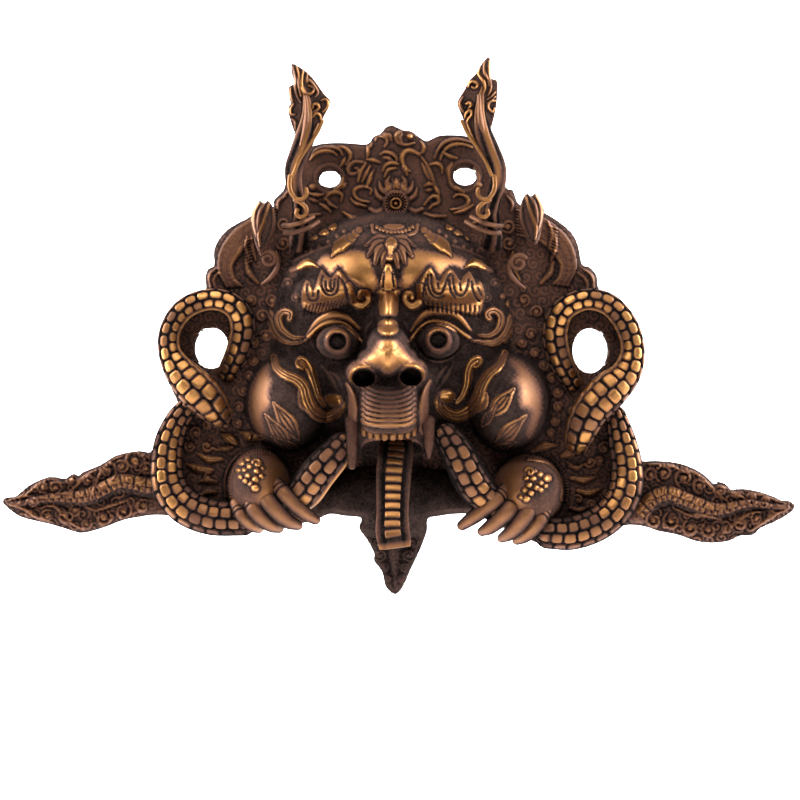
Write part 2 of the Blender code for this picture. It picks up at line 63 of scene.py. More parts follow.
def smoothLine(points, steps=5):  # a smooth curve through the points
    p = np.array(points, float)
    if len(p) < 3:
        share = np.linspace(0, 1, steps + 1)[:, None]
        return p[0] + (p[-1] - p[0]) * share
    p = np.vstack([2 * p[0] - p[1], p, 2 * p[-1] - p[-2]])
    t = np.arange(steps)[:, None] / steps
    runs = [
        0.5 * (2 * b + (c - a) * t + (2 * a - 5 * b + 4 * c - d) * t**2 + (3 * b - a - 3 * c + d) * t**3)
        for a, b, c, d in zip(p, p[1:], p[2:], p[3:])
    ]
    return np.vstack([*runs, p[-2]])


def coil(centre, radius, start, turns, end=0.25, count=14):  # a spiral that closes in on its centre
    t = np.linspace(0, 1, count)
    r = radius * (1 - (1 - end) * t)
    a = math.radians(start) + math.tau * turns * t
    return [(centre[0] + float(c), centre[1] + float(s)) for c, s in zip(r * np.cos(a), r * np.sin(a))]


def nearest(u, v, line):  # distance to a line, share of its length, and the nearest place on it
    best = np.full(u.shape, np.inf)
    share = np.zeros(u.shape)
    place = np.zeros((*u.shape, line.shape[1]))
    lengths = np.hypot(*np.diff(line[:, :2], axis=0).T)
    ends = np.concatenate([[0], np.cumsum(lengths)]) / max(lengths.sum(), 1e-9)
    for a, b, s0, s1 in zip(line[:-1], line[1:], ends[:-1], ends[1:]):
        du, dv = b[0] - a[0], b[1] - a[1]
        t = np.clip(((u - a[0]) * du + (v - a[1]) * dv) / (du * du + dv * dv + 1e-12), 0, 1)
        here = a + t[..., None] * (b - a)
        away = np.hypot(u - here[..., 0], v - here[..., 1])
        closer = away < best
        best[closer] = away[closer]
        share[closer] = (s0 + t * (s1 - s0))[closer]
        place[closer] = here[closer]
    return best, share, place


def insideLine(u, v, line):
    odd = np.zeros(u.shape, bool)
    for a, b in zip(line, np.roll(line, -1, 0)):
        if a[1] == b[1]:
            continue
        odd ^= ((a[1] > v) != (b[1] > v)) & (u < a[0] + (v - a[1]) * (b[0] - a[0]) / (b[1] - a[1]))
    return odd


def smoothMax(a, b, width):
    return 0.5 * (a + b + np.sqrt((a - b) ** 2 + width**2))


def dome(sheet, u, v, ru, rv, top, foot=0.0, power=0.5):
    inside = 1 - ((sheet.u - u) / ru) ** 2 - ((sheet.v - v) / rv) ** 2
    return np.where(inside > 0, foot + (top - foot) * np.clip(inside, 0, 1) ** power, -1000.0)


def bump(sheet, u, v, ru, rv):
    return np.exp(-(((sheet.u - u) / ru) ** 2) - ((sheet.v - v) / rv) ** 2)


def blurred(values, reach, times=2):  # box means over the cells around each one
    for _ in range(times):
        for axis in (0, 1):
            width = 2 * reach + 1
            pad = [(reach + 1, reach) if a == axis else (0, 0) for a in (0, 1)]
            total = np.cumsum(np.pad(values, pad, mode="edge"), axis=axis)
            upper = np.take(total, range(width, total.shape[axis]), axis=axis)
            lower = np.take(total, range(0, total.shape[axis] - width), axis=axis)
            values = (upper - lower) / width
    return values


class Sheet:  # a patch of the drawing with a depth and a polish at each point
    def __init__(self, left, top, right, bottom, step):
        self.step = step
        self.u, self.v = np.meshgrid(np.arange(left, right, step), np.arange(top, bottom, step))
        for layer in ("depth", "raised", "cut", "paint", "dark"):
            setattr(self, layer, np.zeros_like(self.u))

    def window(self, line, reach):
        low = (line[:, :2].min(0) - reach - (self.u[0, 0], self.v[0, 0])) / self.step
        high = (line[:, :2].max(0) + reach - (self.u[0, 0], self.v[0, 0])) / self.step + 2
        columns = slice(max(0, int(low[0])), max(0, int(high[0])))
        rows = slice(max(0, int(low[1])), max(0, int(high[1])))
        return rows, columns

    def settle(self):  # makes the strokes so far part of the depth
        self.depth = self.depth + self.raised - self.cut
        self.raised = np.zeros_like(self.u)
        self.cut = np.zeros_like(self.u)

    def most(self, layer, here, values):
        held = getattr(self, layer)
        held[here] = np.maximum(held[here], values)

    def shadeRound(self, here, within, strength):  # cleans the shape itself and darkens what is round it
        self.dark[here] = np.where(within, 0, self.dark[here])
        self.most("dark", here, strength * ~within)


def stroke(sheet, points, width, height, taper=(1, 1, 1), gold=0.0, shade=0.35, flat=0.6):
    line = smoothLine(points, 4)
    here = sheet.window(line, width + 3)
    u, v = sheet.u[here], sheet.v[here]
    if u.size == 0:
        return
    away, share, _ = nearest(u, v, line)
    thin = np.interp(share, (0, 0.5, 1), taper)
    reach = np.maximum(width * thin, 0.05)
    body = np.clip(1 - (away / reach) ** 2, 0, 1) ** flat * abs(height) * (0.35 + 0.65 * thin)
    sheet.most("raised" if height > 0 else "cut", here, body)
    within = away < reach
    sheet.most("paint", here, gold * within)
    if height < 0:
        sheet.most("dark", here, shade * within)
    else:
        sheet.shadeRound(here, within, shade * np.clip(1 - np.abs(away - reach - 0.8) / 1.5, 0, 1))


def bead(sheet, u, v, ru, rv=None, height=3.0, gold=0.0, square=2, shade=0.5):
    rv = rv or ru
    here = sheet.window(np.array([(u, v)], float), max(ru, rv) + 2)
    if sheet.u[here].size == 0:
        return
    out = np.abs((sheet.u[here] - u) / ru) ** square + np.abs((sheet.v[here] - v) / rv) ** square
    sheet.most("raised", here, height * np.clip(1 - out, 0, 1) ** (1 / square))
    within = out < 1
    sheet.shadeRound(here, within, shade * np.clip(1.5 - 2.5 * np.abs(out ** (1 / square) - 1.12), 0, 1))
    sheet.most("paint", here, gold * within)


def leaf(sheet, points, width, height, gold=0.0, vein=0.45):  # a pointed leaf from its root to its tip
    stroke(sheet, points, width, height, (0.5, 1, 0.06), gold=gold, shade=0.55)
    stroke(sheet, points, 0.8, -vein * height, (1, 1, 0.3), shade=0.5)


def curl(sheet, centre, radius, start, hand=1, turns=1.5, width=2.0, height=4.5, gold=0.25, tail=()):
    spiral = coil(centre, radius, start, hand * turns, 0.22, 10 + int(8 * turns))
    stroke(sheet, [*tail, *spiral], width, height, (0.6, 1, 0.9), gold=gold)
    bead(sheet, *centre, 0.24 * radius + 0.7, None, height + 1, gold=gold + 0.15)


def patch(sheet, points, height, gold=0.0, shade=0.8, soft=2.0):  # a raised area with rounded edges
    line = smoothLine([*points, points[0]], 3)
    here = sheet.window(line, 3)
    if sheet.u[here].size == 0:
        return
    away, _, _ = nearest(sheet.u[here], sheet.v[here], line)
    within = insideLine(sheet.u[here], sheet.v[here], line)
    sheet.most("raised", here, height * np.sqrt(1 - (1 - np.clip(away / soft, 0, 1)) ** 2) * within)
    sheet.shadeRound(here, within, shade * np.clip(1.3 - away / 1.6, 0, 1))
    sheet.most("paint", here, gold * within)


# A flat band, fluted along lines that are placed from -1 to 1 across it.
def ribbon(sheet, points, width, height, taper=(1, 1, 1), gold=0.0, lines=(0.0,), shade=0.85):
    line = smoothLine(points, 4)
    here = sheet.window(line, width + 3)
    if sheet.u[here].size == 0:
        return
    away, share, place = nearest(sheet.u[here], sheet.v[here], line)
    along = np.gradient(line[:, :2], axis=0)
    turned = np.stack([np.interp(share, np.linspace(0, 1, len(line)), along[:, k]) for k in (0, 1)])
    du, dv = sheet.u[here] - place[..., 0], sheet.v[here] - place[..., 1]
    hand = np.sign(turned[0] * dv - turned[1] * du)
    thin = np.interp(share, (0, 0.5, 1), taper)
    reach = np.maximum(width * thin, 0.05)
    across = away / reach
    body = height * np.clip(2.4 * (1 - across), 0, 1) ** 0.6 * (0.5 + 0.5 * thin)
    within = across < 1
    groove = 0 * across
    for offset in lines:
        groove = np.maximum(groove, np.clip(1.1 - np.abs(hand * across - offset) * reach / 0.8, 0, 1))
    sheet.most("raised", here, body - 0.45 * height * groove)
    sheet.shadeRound(here, within, shade * np.clip(1.25 - np.abs(away - reach - 0.9) / 1.3, 0, 1))
    sheet.most("dark", here, 0.9 * groove * within)
    sheet.most("paint", here, gold * within)


def uneven(a, b):  # a value between 0 and 1 that differs from place to place
    return np.abs(np.sin(a * 12.9898 + b * 78.233) * 43758.5453) % 1


# The scrollwork is plainest on the crown, calm between the tails, and carved most on the tails.
scrollSettings = {
    "field": {"pitch": 12.5, "height": 2.6, "gold": 0.34},
    "hair": {"pitch": 9, "height": 1.6, "gold": 0.22},
    "crown": (205, 40, 0.12),  # where it begins to deepen, over how far, and the least share of it
    "tails": (398, 244, 12, 0.34),  # the middle, how far out they begin, over how far, and the least share
}


def scrollwork(sheet, pitch, height, gold):  # small curls packed side by side
    best = np.full(sheet.u.shape, np.inf)
    phase = np.zeros(sheet.u.shape)
    for i in range(int(sheet.u.min() // pitch) - 1, int(sheet.u.max() // pitch) + 2):
        for j in range(int(sheet.v.min() // pitch) - 2, int(sheet.v.max() // pitch) + 2):
            u = (i + 0.5 * (j % 2) + 0.45 * float(uneven(i, j))) * pitch
            v = (j + 0.45 * float(uneven(j, i + 7))) * pitch
            here = sheet.window(np.array([(u, v)]), 1.3 * pitch)
            if not sheet.u[here].size:
                continue
            du, dv = sheet.u[here] - u, sheet.v[here] - v
            away = np.hypot(du, dv)
            closer = away < best[here]
            hand = 1 if uneven(i + 3, j) > 0.5 else -1
            turn = away * math.tau / 4.6 + hand * np.arctan2(dv, du) + 6 * float(uneven(i, j + 5))
            best[here] = np.where(closer, away, best[here])
            phase[here] = np.where(closer, turn, phase[here])
    ridge = (0.5 + 0.5 * np.cos(phase)) ** 0.8 * np.clip(1.5 - best / (0.62 * pitch), 0.25, 1)
    everywhere = (slice(None), slice(None))
    begins, fades, least = scrollSettings["crown"]
    calm = np.clip((sheet.v - begins) / fades, least, 1)
    middle, begins, fades, least = scrollSettings["tails"]
    calm = calm * np.clip((np.abs(sheet.u - middle) - begins) / fades, least, 1)
    sheet.most("raised", everywhere, height * ridge * calm)
    sheet.most("paint", everywhere, gold * (ridge * calm + 0.42 * (1 - calm)))
    sheet.most("dark", everywhere, 0.4 * (1 - ridge) * calm)


# The casting's relief.

outlinePoints = [  # the whole mask but the horns, clockwise from the top of the crown
    (393, 125), (403, 130), (411, 131), (421, 138), (427, 141), (438, 136), (452, 135), (470, 137),
    (488, 146), (500, 160), (506, 187), (513, 190), (518, 203), (527, 207), (541, 211), (558, 221),
    (571, 232), (578, 245), (582, 264), (590, 267), (597, 276), (599, 289), (617, 303), (632, 325),
    (637, 352), (631, 377), (616, 403), (614, 415), (626, 432), (634, 455), (642, 461), (658, 461),
    (678, 463), (695, 469), (707, 477), (714, 484), (719, 482), (726, 484), (732, 490), (743, 489),
    (761, 492), (777, 498), (783, 501), (790, 501), (795, 506), (790, 513), (777, 521), (761, 528),
    (753, 535), (740, 536), (729, 541), (712, 543), (695, 541), (678, 535), (658, 531), (646, 527),
    (632, 525), (620, 527), (600, 537), (572, 545), (545, 545), (520, 536), (495, 524), (475, 515),
    (456, 514), (440, 516), (428, 519), (427, 531), (420, 550), (411, 569), (404, 585), (397, 594),
    (390, 592), (385, 585), (382, 572), (374, 561), (374, 553), (367, 540), (359, 528), (361, 518),
    (345, 516), (330, 514), (318, 519), (300, 524), (275, 530), (245, 529), (220, 530), (195, 526),
    (175, 517), (155, 515), (140, 517), (124, 520), (103, 528), (83, 533), (72, 531), (53, 525), (40, 522),
    (21, 517), (10, 510), (3, 503), (5, 498), (16, 496), (28, 486), (48, 477), (64, 479), (72, 474),
    (78, 476), (83, 472), (100, 465), (117, 455), (138, 451), (150, 452), (158, 440), (166, 422),
    (178, 407), (172, 390), (165, 368), (164, 340), (172, 318), (187, 304), (203, 297), (206, 287),
    (205, 278), (208, 269), (214, 265), (214, 250), (221, 236), (231, 227), (251, 216), (262, 208),
    (273, 207), (274, 200), (284, 189), (287, 172), (296, 157), (313, 146), (329, 143), (347, 143),
    (367, 144), (373, 137), (381, 133), (386, 127),
]
snakes = {  # u, v, depth and radius along each one
    "leftLoop": [(228, 373, 22, 10), (239, 349, 34, 12), (243, 325, 40, 12.5), (235, 307, 43, 11.5),
                 (216, 299, 42, 10.5), (194, 303, 40, 10.5), (178, 315, 40, 10.5), (169, 334, 41, 10.5),
                 (170, 354, 43, 11.5), (181, 373, 46, 16), (195, 388, 49, 19), (208, 401, 48, 18),
                 (218, 414, 40, 14)],
    "leftCoil": [(186, 409, 36, 11), (176, 423, 36, 12.5), (168, 447, 37, 15), (168, 481, 39, 17),
                 (183, 505, 42, 18), (210, 517, 46, 18), (243, 519, 52, 17)],
    "rightLoop": [(572, 382, 24, 10), (559, 357, 34, 12), (555, 330, 40, 12.5), (564, 309, 43, 11.5),
                  (587, 299, 42, 10.5), (610, 305, 41, 11), (627, 326, 42, 11.5), (633, 351, 43, 12),
                  (626, 374, 45, 15), (609, 391, 49, 19), (592, 409, 50, 18), (582, 428, 47, 16),
                  (577, 443, 38, 12)],
    "rightCoil": [(616, 415, 35, 10), (622, 440, 36, 14), (627, 467, 38, 16), (625, 491, 41, 17),
                  (614, 511, 44, 17), (596, 525, 46, 17), (572, 533, 50, 17), (548, 533, 55, 16)],
    "leftMouth": [(342, 445, 92, 14), (330, 459, 96, 17), (318, 473, 92, 18), (306, 489, 82, 18),
                  (297, 499, 60, 13)],
    "rightMouth": [(447, 436, 92, 14), (458, 453, 96, 17), (467, 472, 94, 18), (478, 490, 86, 18),
                   (496, 507, 72, 16)],
}
casting = {
    "plate": 9.9,  # thickness at the rim, in depth units
    "wall": 8.3,
    "fieldRise": 30,
    "field": (393, 372, 150, 110),  # middle and half sizes, here and below
    "jaw": (393, 502, 96, 36, 58, 20),  # and depths of its top and its foot
    "mouth": (392, 458, 31, 18),
    "mouthDepth": 34,
    "fists": [(259, 487, 74, 32, 39), (528, 492, 74, 36, 38)],  # middle, depth and half sizes
    "nailHoles": [(329.5, 178.6, 10.7, 8.6), (465, 176, 11.6, 9.2)],
    "loopHoles": [(211, 348, 17.4, 20.5), (590.7, 350.5, 18, 22.5)],
}
faceSettings = {  # rounded forms: middle, half sizes, and depths of the top and the foot
    "head": [(390, 337, 126, 128, 96), (390, 269, 88, 46, 112), (338, 290, 48, 22, 118),
             (444, 289, 50, 22, 118), (289, 402, 44, 50, 122), (508, 402, 43, 50, 122),
             (389, 394, 66, 64, 130), (388.5, 318, 14, 40, 128)],
    "nose": [(388, 350, 23, 26, 166, 88), (361, 373, 15.5, 15, 144, 88), (413, 371, 15.5, 15, 144, 88),
             (388, 338, 14, 14, 148, 100), (374, 360, 18, 14, 150, 88), (401, 359, 18, 14, 150, 88),
             (388, 364, 13, 13, 160, 88)],
    "eyeball": (21, 17, 116, 88),
    "socket": (27, 18),
    "lip": (389, 408, 30, 27),
}
eyes = [(337.5, 341.5), (438.5, 340)]
nostrils = [(363.5, 377.5, 12, 9.6), (411, 376.5, 11.5, 9.6)]


def mirrored(points, axis):
    return [(2 * axis - p[0], *p[1:]) for p in points]


def faceForm(sheet):  # the large forms of the face
    look = faceSettings
    depth = np.full(sheet.u.shape, -1000.0)
    for shape in look["head"]:
        depth = smoothMax(depth, dome(sheet, *shape), 8)
    for u, v in eyes:
        depth = depth - 20 * bump(sheet, u, v + 1, *look["socket"])
        depth = smoothMax(depth, dome(sheet, u, v + 1, *look["eyeball"]), 2)
        sheet.dark = np.maximum(sheet.dark, 0.88 * np.clip(1.9 * bump(sheet, u + 1, v + 2, 19, 13), 0, 1))
    u, v, ru, rv = look["lip"]
    lip = np.clip(1 - np.abs((sheet.u - u) / ru) ** 4 - np.abs((sheet.v - v) / rv) ** 4, 0, 1)
    depth = smoothMax(depth, np.where(lip > 0, 70 + 72 * lip**0.25, -1000), 5)
    nose = dome(sheet, *look["nose"][0])
    for shape in look["nose"][1:]:
        nose = smoothMax(nose, dome(sheet, *shape), 14)
    depth = smoothMax(depth, nose, 5)
    for u, v, ru, rv in nostrils:
        away = np.hypot((sheet.u - u) / ru, (sheet.v - v) / rv)
        hollow = np.clip(1.8 - 1.8 * away**2, 0, 1)
        depth = depth - 42 * hollow
        sheet.dark = np.maximum(sheet.dark, hollow)
    return depth


def faceDetail(sheet):
    for u, v in eyes:  # eyes: a ring round a drilled pupil
        stroke(sheet, coil((u, v), 11.4, 0, 1, 1, 24), 2.6, 3, gold=0.08, shade=0.5)
        # a raised arc over the top of each ring; its gold is a painted highlight, as if lit from above
        stroke(sheet, coil((u, v - 0.3), 11.2, 200, 0.36, 1, 16), 2.2, 4, (0.3, 1, 0.3), gold=0.5, shade=0)
        away = np.hypot(sheet.u - u, sheet.v - v)
        hole = np.clip((8.8 - away) / 1.6, 0, 1)
        sheet.cut = np.maximum(sheet.cut, 8 * hole)
        sheet.dark = np.maximum(sheet.dark, 0.8 * hole)
    for lid in [
        [(306, 337), (318, 322), (332, 315.5), (346, 317.5), (359, 329)],
        [(411, 331), (421.9, 316.5), (434, 310.5), (447, 311), (459, 317), (470, 330)],
    ]:
        stroke(sheet, lid, 5.2, 6, (0.2, 1, 0.3), gold=0.5, shade=0.7, flat=0.4)
    for lid in [
        [(305, 341), (318.3, 328), (329.4, 323), (342.2, 323.5), (352, 330), (361.5, 342)],
        [(409.5, 341), (421.9, 327), (433, 322), (449, 325), (463.4, 334), (472.9, 340), (484, 342)],
    ]:
        stroke(sheet, lid, 3.2, 7, (0.5, 1, 0.4), gold=0.66, shade=0.9, flat=0.4)
    for lid in [
        [(311, 342), (320, 354), (335.8, 361.5), (350, 357), (360, 344)],
        [(413, 343), (423.5, 355.4), (437, 361.5), (452, 357), (466, 344)],
    ]:
        stroke(sheet, lid, 1.7, 2.8, (0.5, 1, 0.5), gold=0.1, shade=0.5)
    brows = [  # the solid of each brow, then the lines cut into it
        [(302.7, 308), (301, 297), (303.6, 285), (307.3, 279.4), (311, 285), (313, 291), (316, 285),
         (319, 275), (322, 270), (327, 275.5), (331.4, 278), (334.5, 274), (338.8, 270), (343.5, 275),
         (348, 281), (353, 287), (353, 296), (350, 303), (335, 308), (318, 313)],
        [(417, 304), (416.5, 294), (417.4, 287), (421, 279), (425, 272.5), (430.3, 267.3), (434, 273),
         (436.5, 280), (440, 281), (443, 275), (447, 270.5), (450.7, 269), (455, 273), (458.5, 279),
         (461, 280.5), (463, 277), (466.5, 273), (470, 272), (473.5, 278), (476, 284), (480, 281),
         (483, 287), (485, 297), (482, 307), (477.5, 315), (460, 312), (440, 307)],
    ]
    for number, brow in enumerate(brows):
        patch(sheet, brow, 5.5, gold=(0.62, 0.7)[number], shade=1, soft=2.4)
    for curlPoints in [
        [(349, 286), (351, 295), (355, 303), (362, 305.5), (368.5, 300.5), (367.5, 294), (361.5, 292.5),
         (360, 297)],
        [(420, 287), (421.5, 296), (417.1, 303.8), (410.5, 306), (404.6, 300), (406, 294.4), (411, 294),
         (412, 298)],
    ]:
        ribbon(sheet, curlPoints, 4.2, 7, (0.9, 1, 0.7), gold=0.75, lines=(), shade=1)
    sheet.settle()
    for groove in [
        [(323, 276), (321.5, 284), (324, 291), (328.6, 295), (333.5, 294.5), (337.4, 290), (338, 282),
         (339.5, 277)],
        [(331.2, 280), (330.4, 285), (331.6, 289)], [(341.5, 279), (344.8, 285), (347, 291), (347.5, 298)],
        [(307.6, 284), (307, 291), (309, 298), (313, 301), (317.5, 299), (318.5, 291)],
        [(313, 293), (313.4, 296)],
        [(326, 281), (326, 287), (328, 291), (333, 290), (334.5, 284), (335, 279)],
        [(431, 275), (431.5, 284), (434, 291.5), (438, 294), (442, 292), (445, 285), (447.5, 278),
         (450, 274)],
        [(452.5, 276), (453.5, 285), (456, 293), (460, 296), (464, 294), (467, 287), (468.5, 279)],
        [(426.5, 279), (424, 287), (422.5, 296)], [(471.5, 281), (472.6, 289), (475.5, 297), (479, 301)],
        [(437.5, 283), (438.6, 288)], [(460, 283), (460.4, 290)], [(478, 288), (481, 295)],
        [(428, 276), (427.6, 285), (431, 294), (437, 298), (444, 296)],
        [(449, 280), (450.4, 290), (455, 298)],
    ]:
        stroke(sheet, groove, 1.35, -3.4, shade=0.95)
    for k in range(13):  # the hatched lower edge of each brow
        t = k / 12
        for line in ([(304 + 43 * t, 315.5 - 12 * t), (306.5 + 44 * t, 306 - 8 * t)],
                     [(424 + 54 * t, 309 + 8 * t), (422.5 + 57 * t, 299.5 + 7 * t)]):
            stroke(sheet, line, 1.05, -2.4, shade=0.8)
    # the bar and bead above the nose
    bead(sheet, 388.7, 304, 9.8, 14.5, 11, gold=0.88, square=3.4, shade=0.9)
    bead(sheet, 381, 292, 4, 4, 7, gold=0.6, shade=0)
    bead(sheet, 396.5, 292, 4, 4, 7, gold=0.6, shade=0)
    bead(sheet, 388, 327.3, 10.6, 8.4, 11, gold=0.8, square=2.4, shade=1)
    for u, v, ru, rv in nostrils:  # the hood over each nostril
        start, end = (165, 300) if u < 388 else (240, 375)
        rim = [(u + (ru + 1.6) * math.cos(math.radians(a)), v + (rv + 2.2) * math.sin(math.radians(a)))
               for a in range(start, end + 1, 15)]
        stroke(sheet, rim, 2.6, 3.4, (0.5, 1, 0.4), gold=0.6, shade=0)
    for k in range(8):  # the ringed upper lip
        v = 387 + 5.4 * k
        sag = 6.5 * (1 - k / 8)
        line = [(362.5, v - 5), (365, v - 1.5), (377, v + 0.7 * sag), (389, v + sag), (401, v + 0.7 * sag),
                (412, v - 1.5), (415, v - 5)]
        stroke(sheet, line, 2.45, 3.2, (0.7, 1, 0.7), gold=0.03 + 0.058 * k, shade=0.95, flat=0.45)
    for fold in [
        [(347, 384), (351.5, 394), (353, 408), (352, 430)],
        [(430, 381), (425.5, 391), (423.5, 406), (423.5, 430)],
    ]:
        stroke(sheet, fold, 5.4, 8, (0.35, 1, 0.9), gold=0.26, shade=0.8, flat=0.45)
    moustaches = [
        [(273.5, 357), (277, 368), (286, 375), (297, 380), (304.5, 388), (308, 401), (315, 412.5),
         (326, 417), (335, 413), (339.5, 406), (337, 399), (331, 399)],
        [(505, 353), (499, 365.5), (489, 374.5), (481.5, 386), (477.5, 399), (469, 411), (457.5, 416),
         (446, 412), (440.5, 403), (443, 395), (449, 394)],
    ]
    for moustache in moustaches:
        ribbon(sheet, moustache, 6.8, 8, (0.5, 1, 0.8), gold=0.74, lines=(-0.3, 0.3), shade=1)
    bead(sheet, 332.5, 400, 8.6, 6.4, 13, gold=0.85, shade=0.8)
    bead(sheet, 448, 396.5, 8.2, 6.6, 13, gold=0.82, shade=0.8)
    seconds = [
        [(303, 367), (299.5, 364.5), (300, 360.5), (305, 362), (311, 371), (315, 383), (318.5, 396),
         (324, 405)],
        [(475, 366), (478.5, 363.5), (478, 359.5), (472.5, 362), (468.5, 371), (467, 384), (462.5, 396),
         (457, 402)],
    ]
    for second in seconds:
        ribbon(sheet, second, 4.8, 9, (0.8, 1, 0.5), gold=0.8, lines=(0.1,), shade=1)
    leaf(sheet, [(300, 392), (302, 404), (312, 415)], 4.4, 5, gold=0.2)
    leaf(sheet, [(486, 394), (484, 404), (474, 414)], 4.4, 5, gold=0.5)
    flourishes = [
        [(472, 341), (484, 342.5), (494, 343), (503.2, 338), (509, 329), (513, 319), (520.5, 311),
         (525, 303.5), (521, 297), (513.5, 298), (511, 303.5)],
        [(306, 340), (295, 342.5), (284, 340), (275, 331), (271, 320), (265, 311), (259.5, 304), (262, 298),
         (268, 298), (269, 304)],
    ]
    for number, flourish in enumerate(flourishes):
        ribbon(sheet, flourish, 6, 6, (0.2, 1, 0.8), gold=(0.56, 0.5)[number], lines=(-0.35, 0.3), shade=1)
    for inner in [
        [(478, 335), (490, 335.5), (499, 328), (501, 316.5), (494, 310.5), (487, 313.5), (489, 318.5)],
        [(303, 337), (292, 337), (281, 328), (278.5, 317), (284, 311.5), (290.5, 313.5), (289.5, 319)],
    ]:
        ribbon(sheet, inner, 4, 6.5, (0.3, 1, 0.8), gold=0.5, lines=(0.0,), shade=1)
    for u, v, r in [(503, 296, 3), (507, 291, 2.4), (516, 289.5, 3), (523, 291, 3), (527, 297, 2.6),
                    (517, 309, 3.2), (527, 307, 2.6), (266, 293, 3), (272, 297, 2.6), (259, 296, 3),
                    (257, 304, 3), (262, 311, 3), (265, 321, 2.8), (269, 330, 2.8), (274, 337, 2.6),
                    (505, 341, 2.6), (512, 332, 2.8), (519, 323, 2.8)]:
        bead(sheet, u, v, r, r, 4.4, gold=0.3)
    for points in [  # low worn folds between the eyes, nose and cheeks
        [(372, 322), (366, 330), (366, 342)], [(404, 322), (408, 330), (408, 342)],
        [(330, 372), (338, 378), (342, 388)], [(446, 366), (440, 374), (436, 384)],
        [(322, 366), (331, 378), (338, 392)], [(452, 366), (445, 379), (438, 390)],
    ]:
        stroke(sheet, points, 2.8, 2.4, (0.3, 1, 0.3), gold=0.06, shade=0.1)


def cheekDetail(sheet):
    leaves = [  # root, tip, half width and polish of the leaves engraved on the cheeks
        ((300, 441), (272, 401), 9.5, 0.44), ((293, 452), (264, 413), 7.5, 0.46),
        ((304, 455), (270, 436), 5.5, 0.3),
        ((489, 418), (515.4, 387), 9, 0.56), ((494, 447), (527.4, 414.4), 8.5, 0.56),
        ((484, 455), (517, 442), 5.5, 0.34),
        ((481, 428), (497, 404), 5, 0.4),
    ]
    for *ends, width, gold in leaves:
        root, tip = np.array(ends, float)
        along = (tip - root) / np.hypot(*(tip - root))
        side = np.array([-along[1], along[0]])
        middle = 0.45 * tip + 0.55 * root
        nearTip = 0.8 * tip + 0.2 * root
        blade = [root, middle - side * width - 3 * along, nearTip - 0.4 * side * width,
                 tip, nearTip + 0.4 * side * width, middle + side * width - 3 * along]
        patch(sheet, blade, 2.6, gold=gold, shade=1, soft=2.6)
        for offset in (-0.5, 0.0, 0.5):
            end = tip - (3 + 12 * abs(offset)) * along + 0.2 * offset * side * width
            vein = [root + 3 * along, middle + side * width * offset, end]
            stroke(sheet, vein, 1.1, -2.2, (1, 1, 0.6), shade=0.9)


def flipped(side, points):  # the left side's points as they are, or their images on the right
    return points if side == 1 else mirrored(points, 391.5)


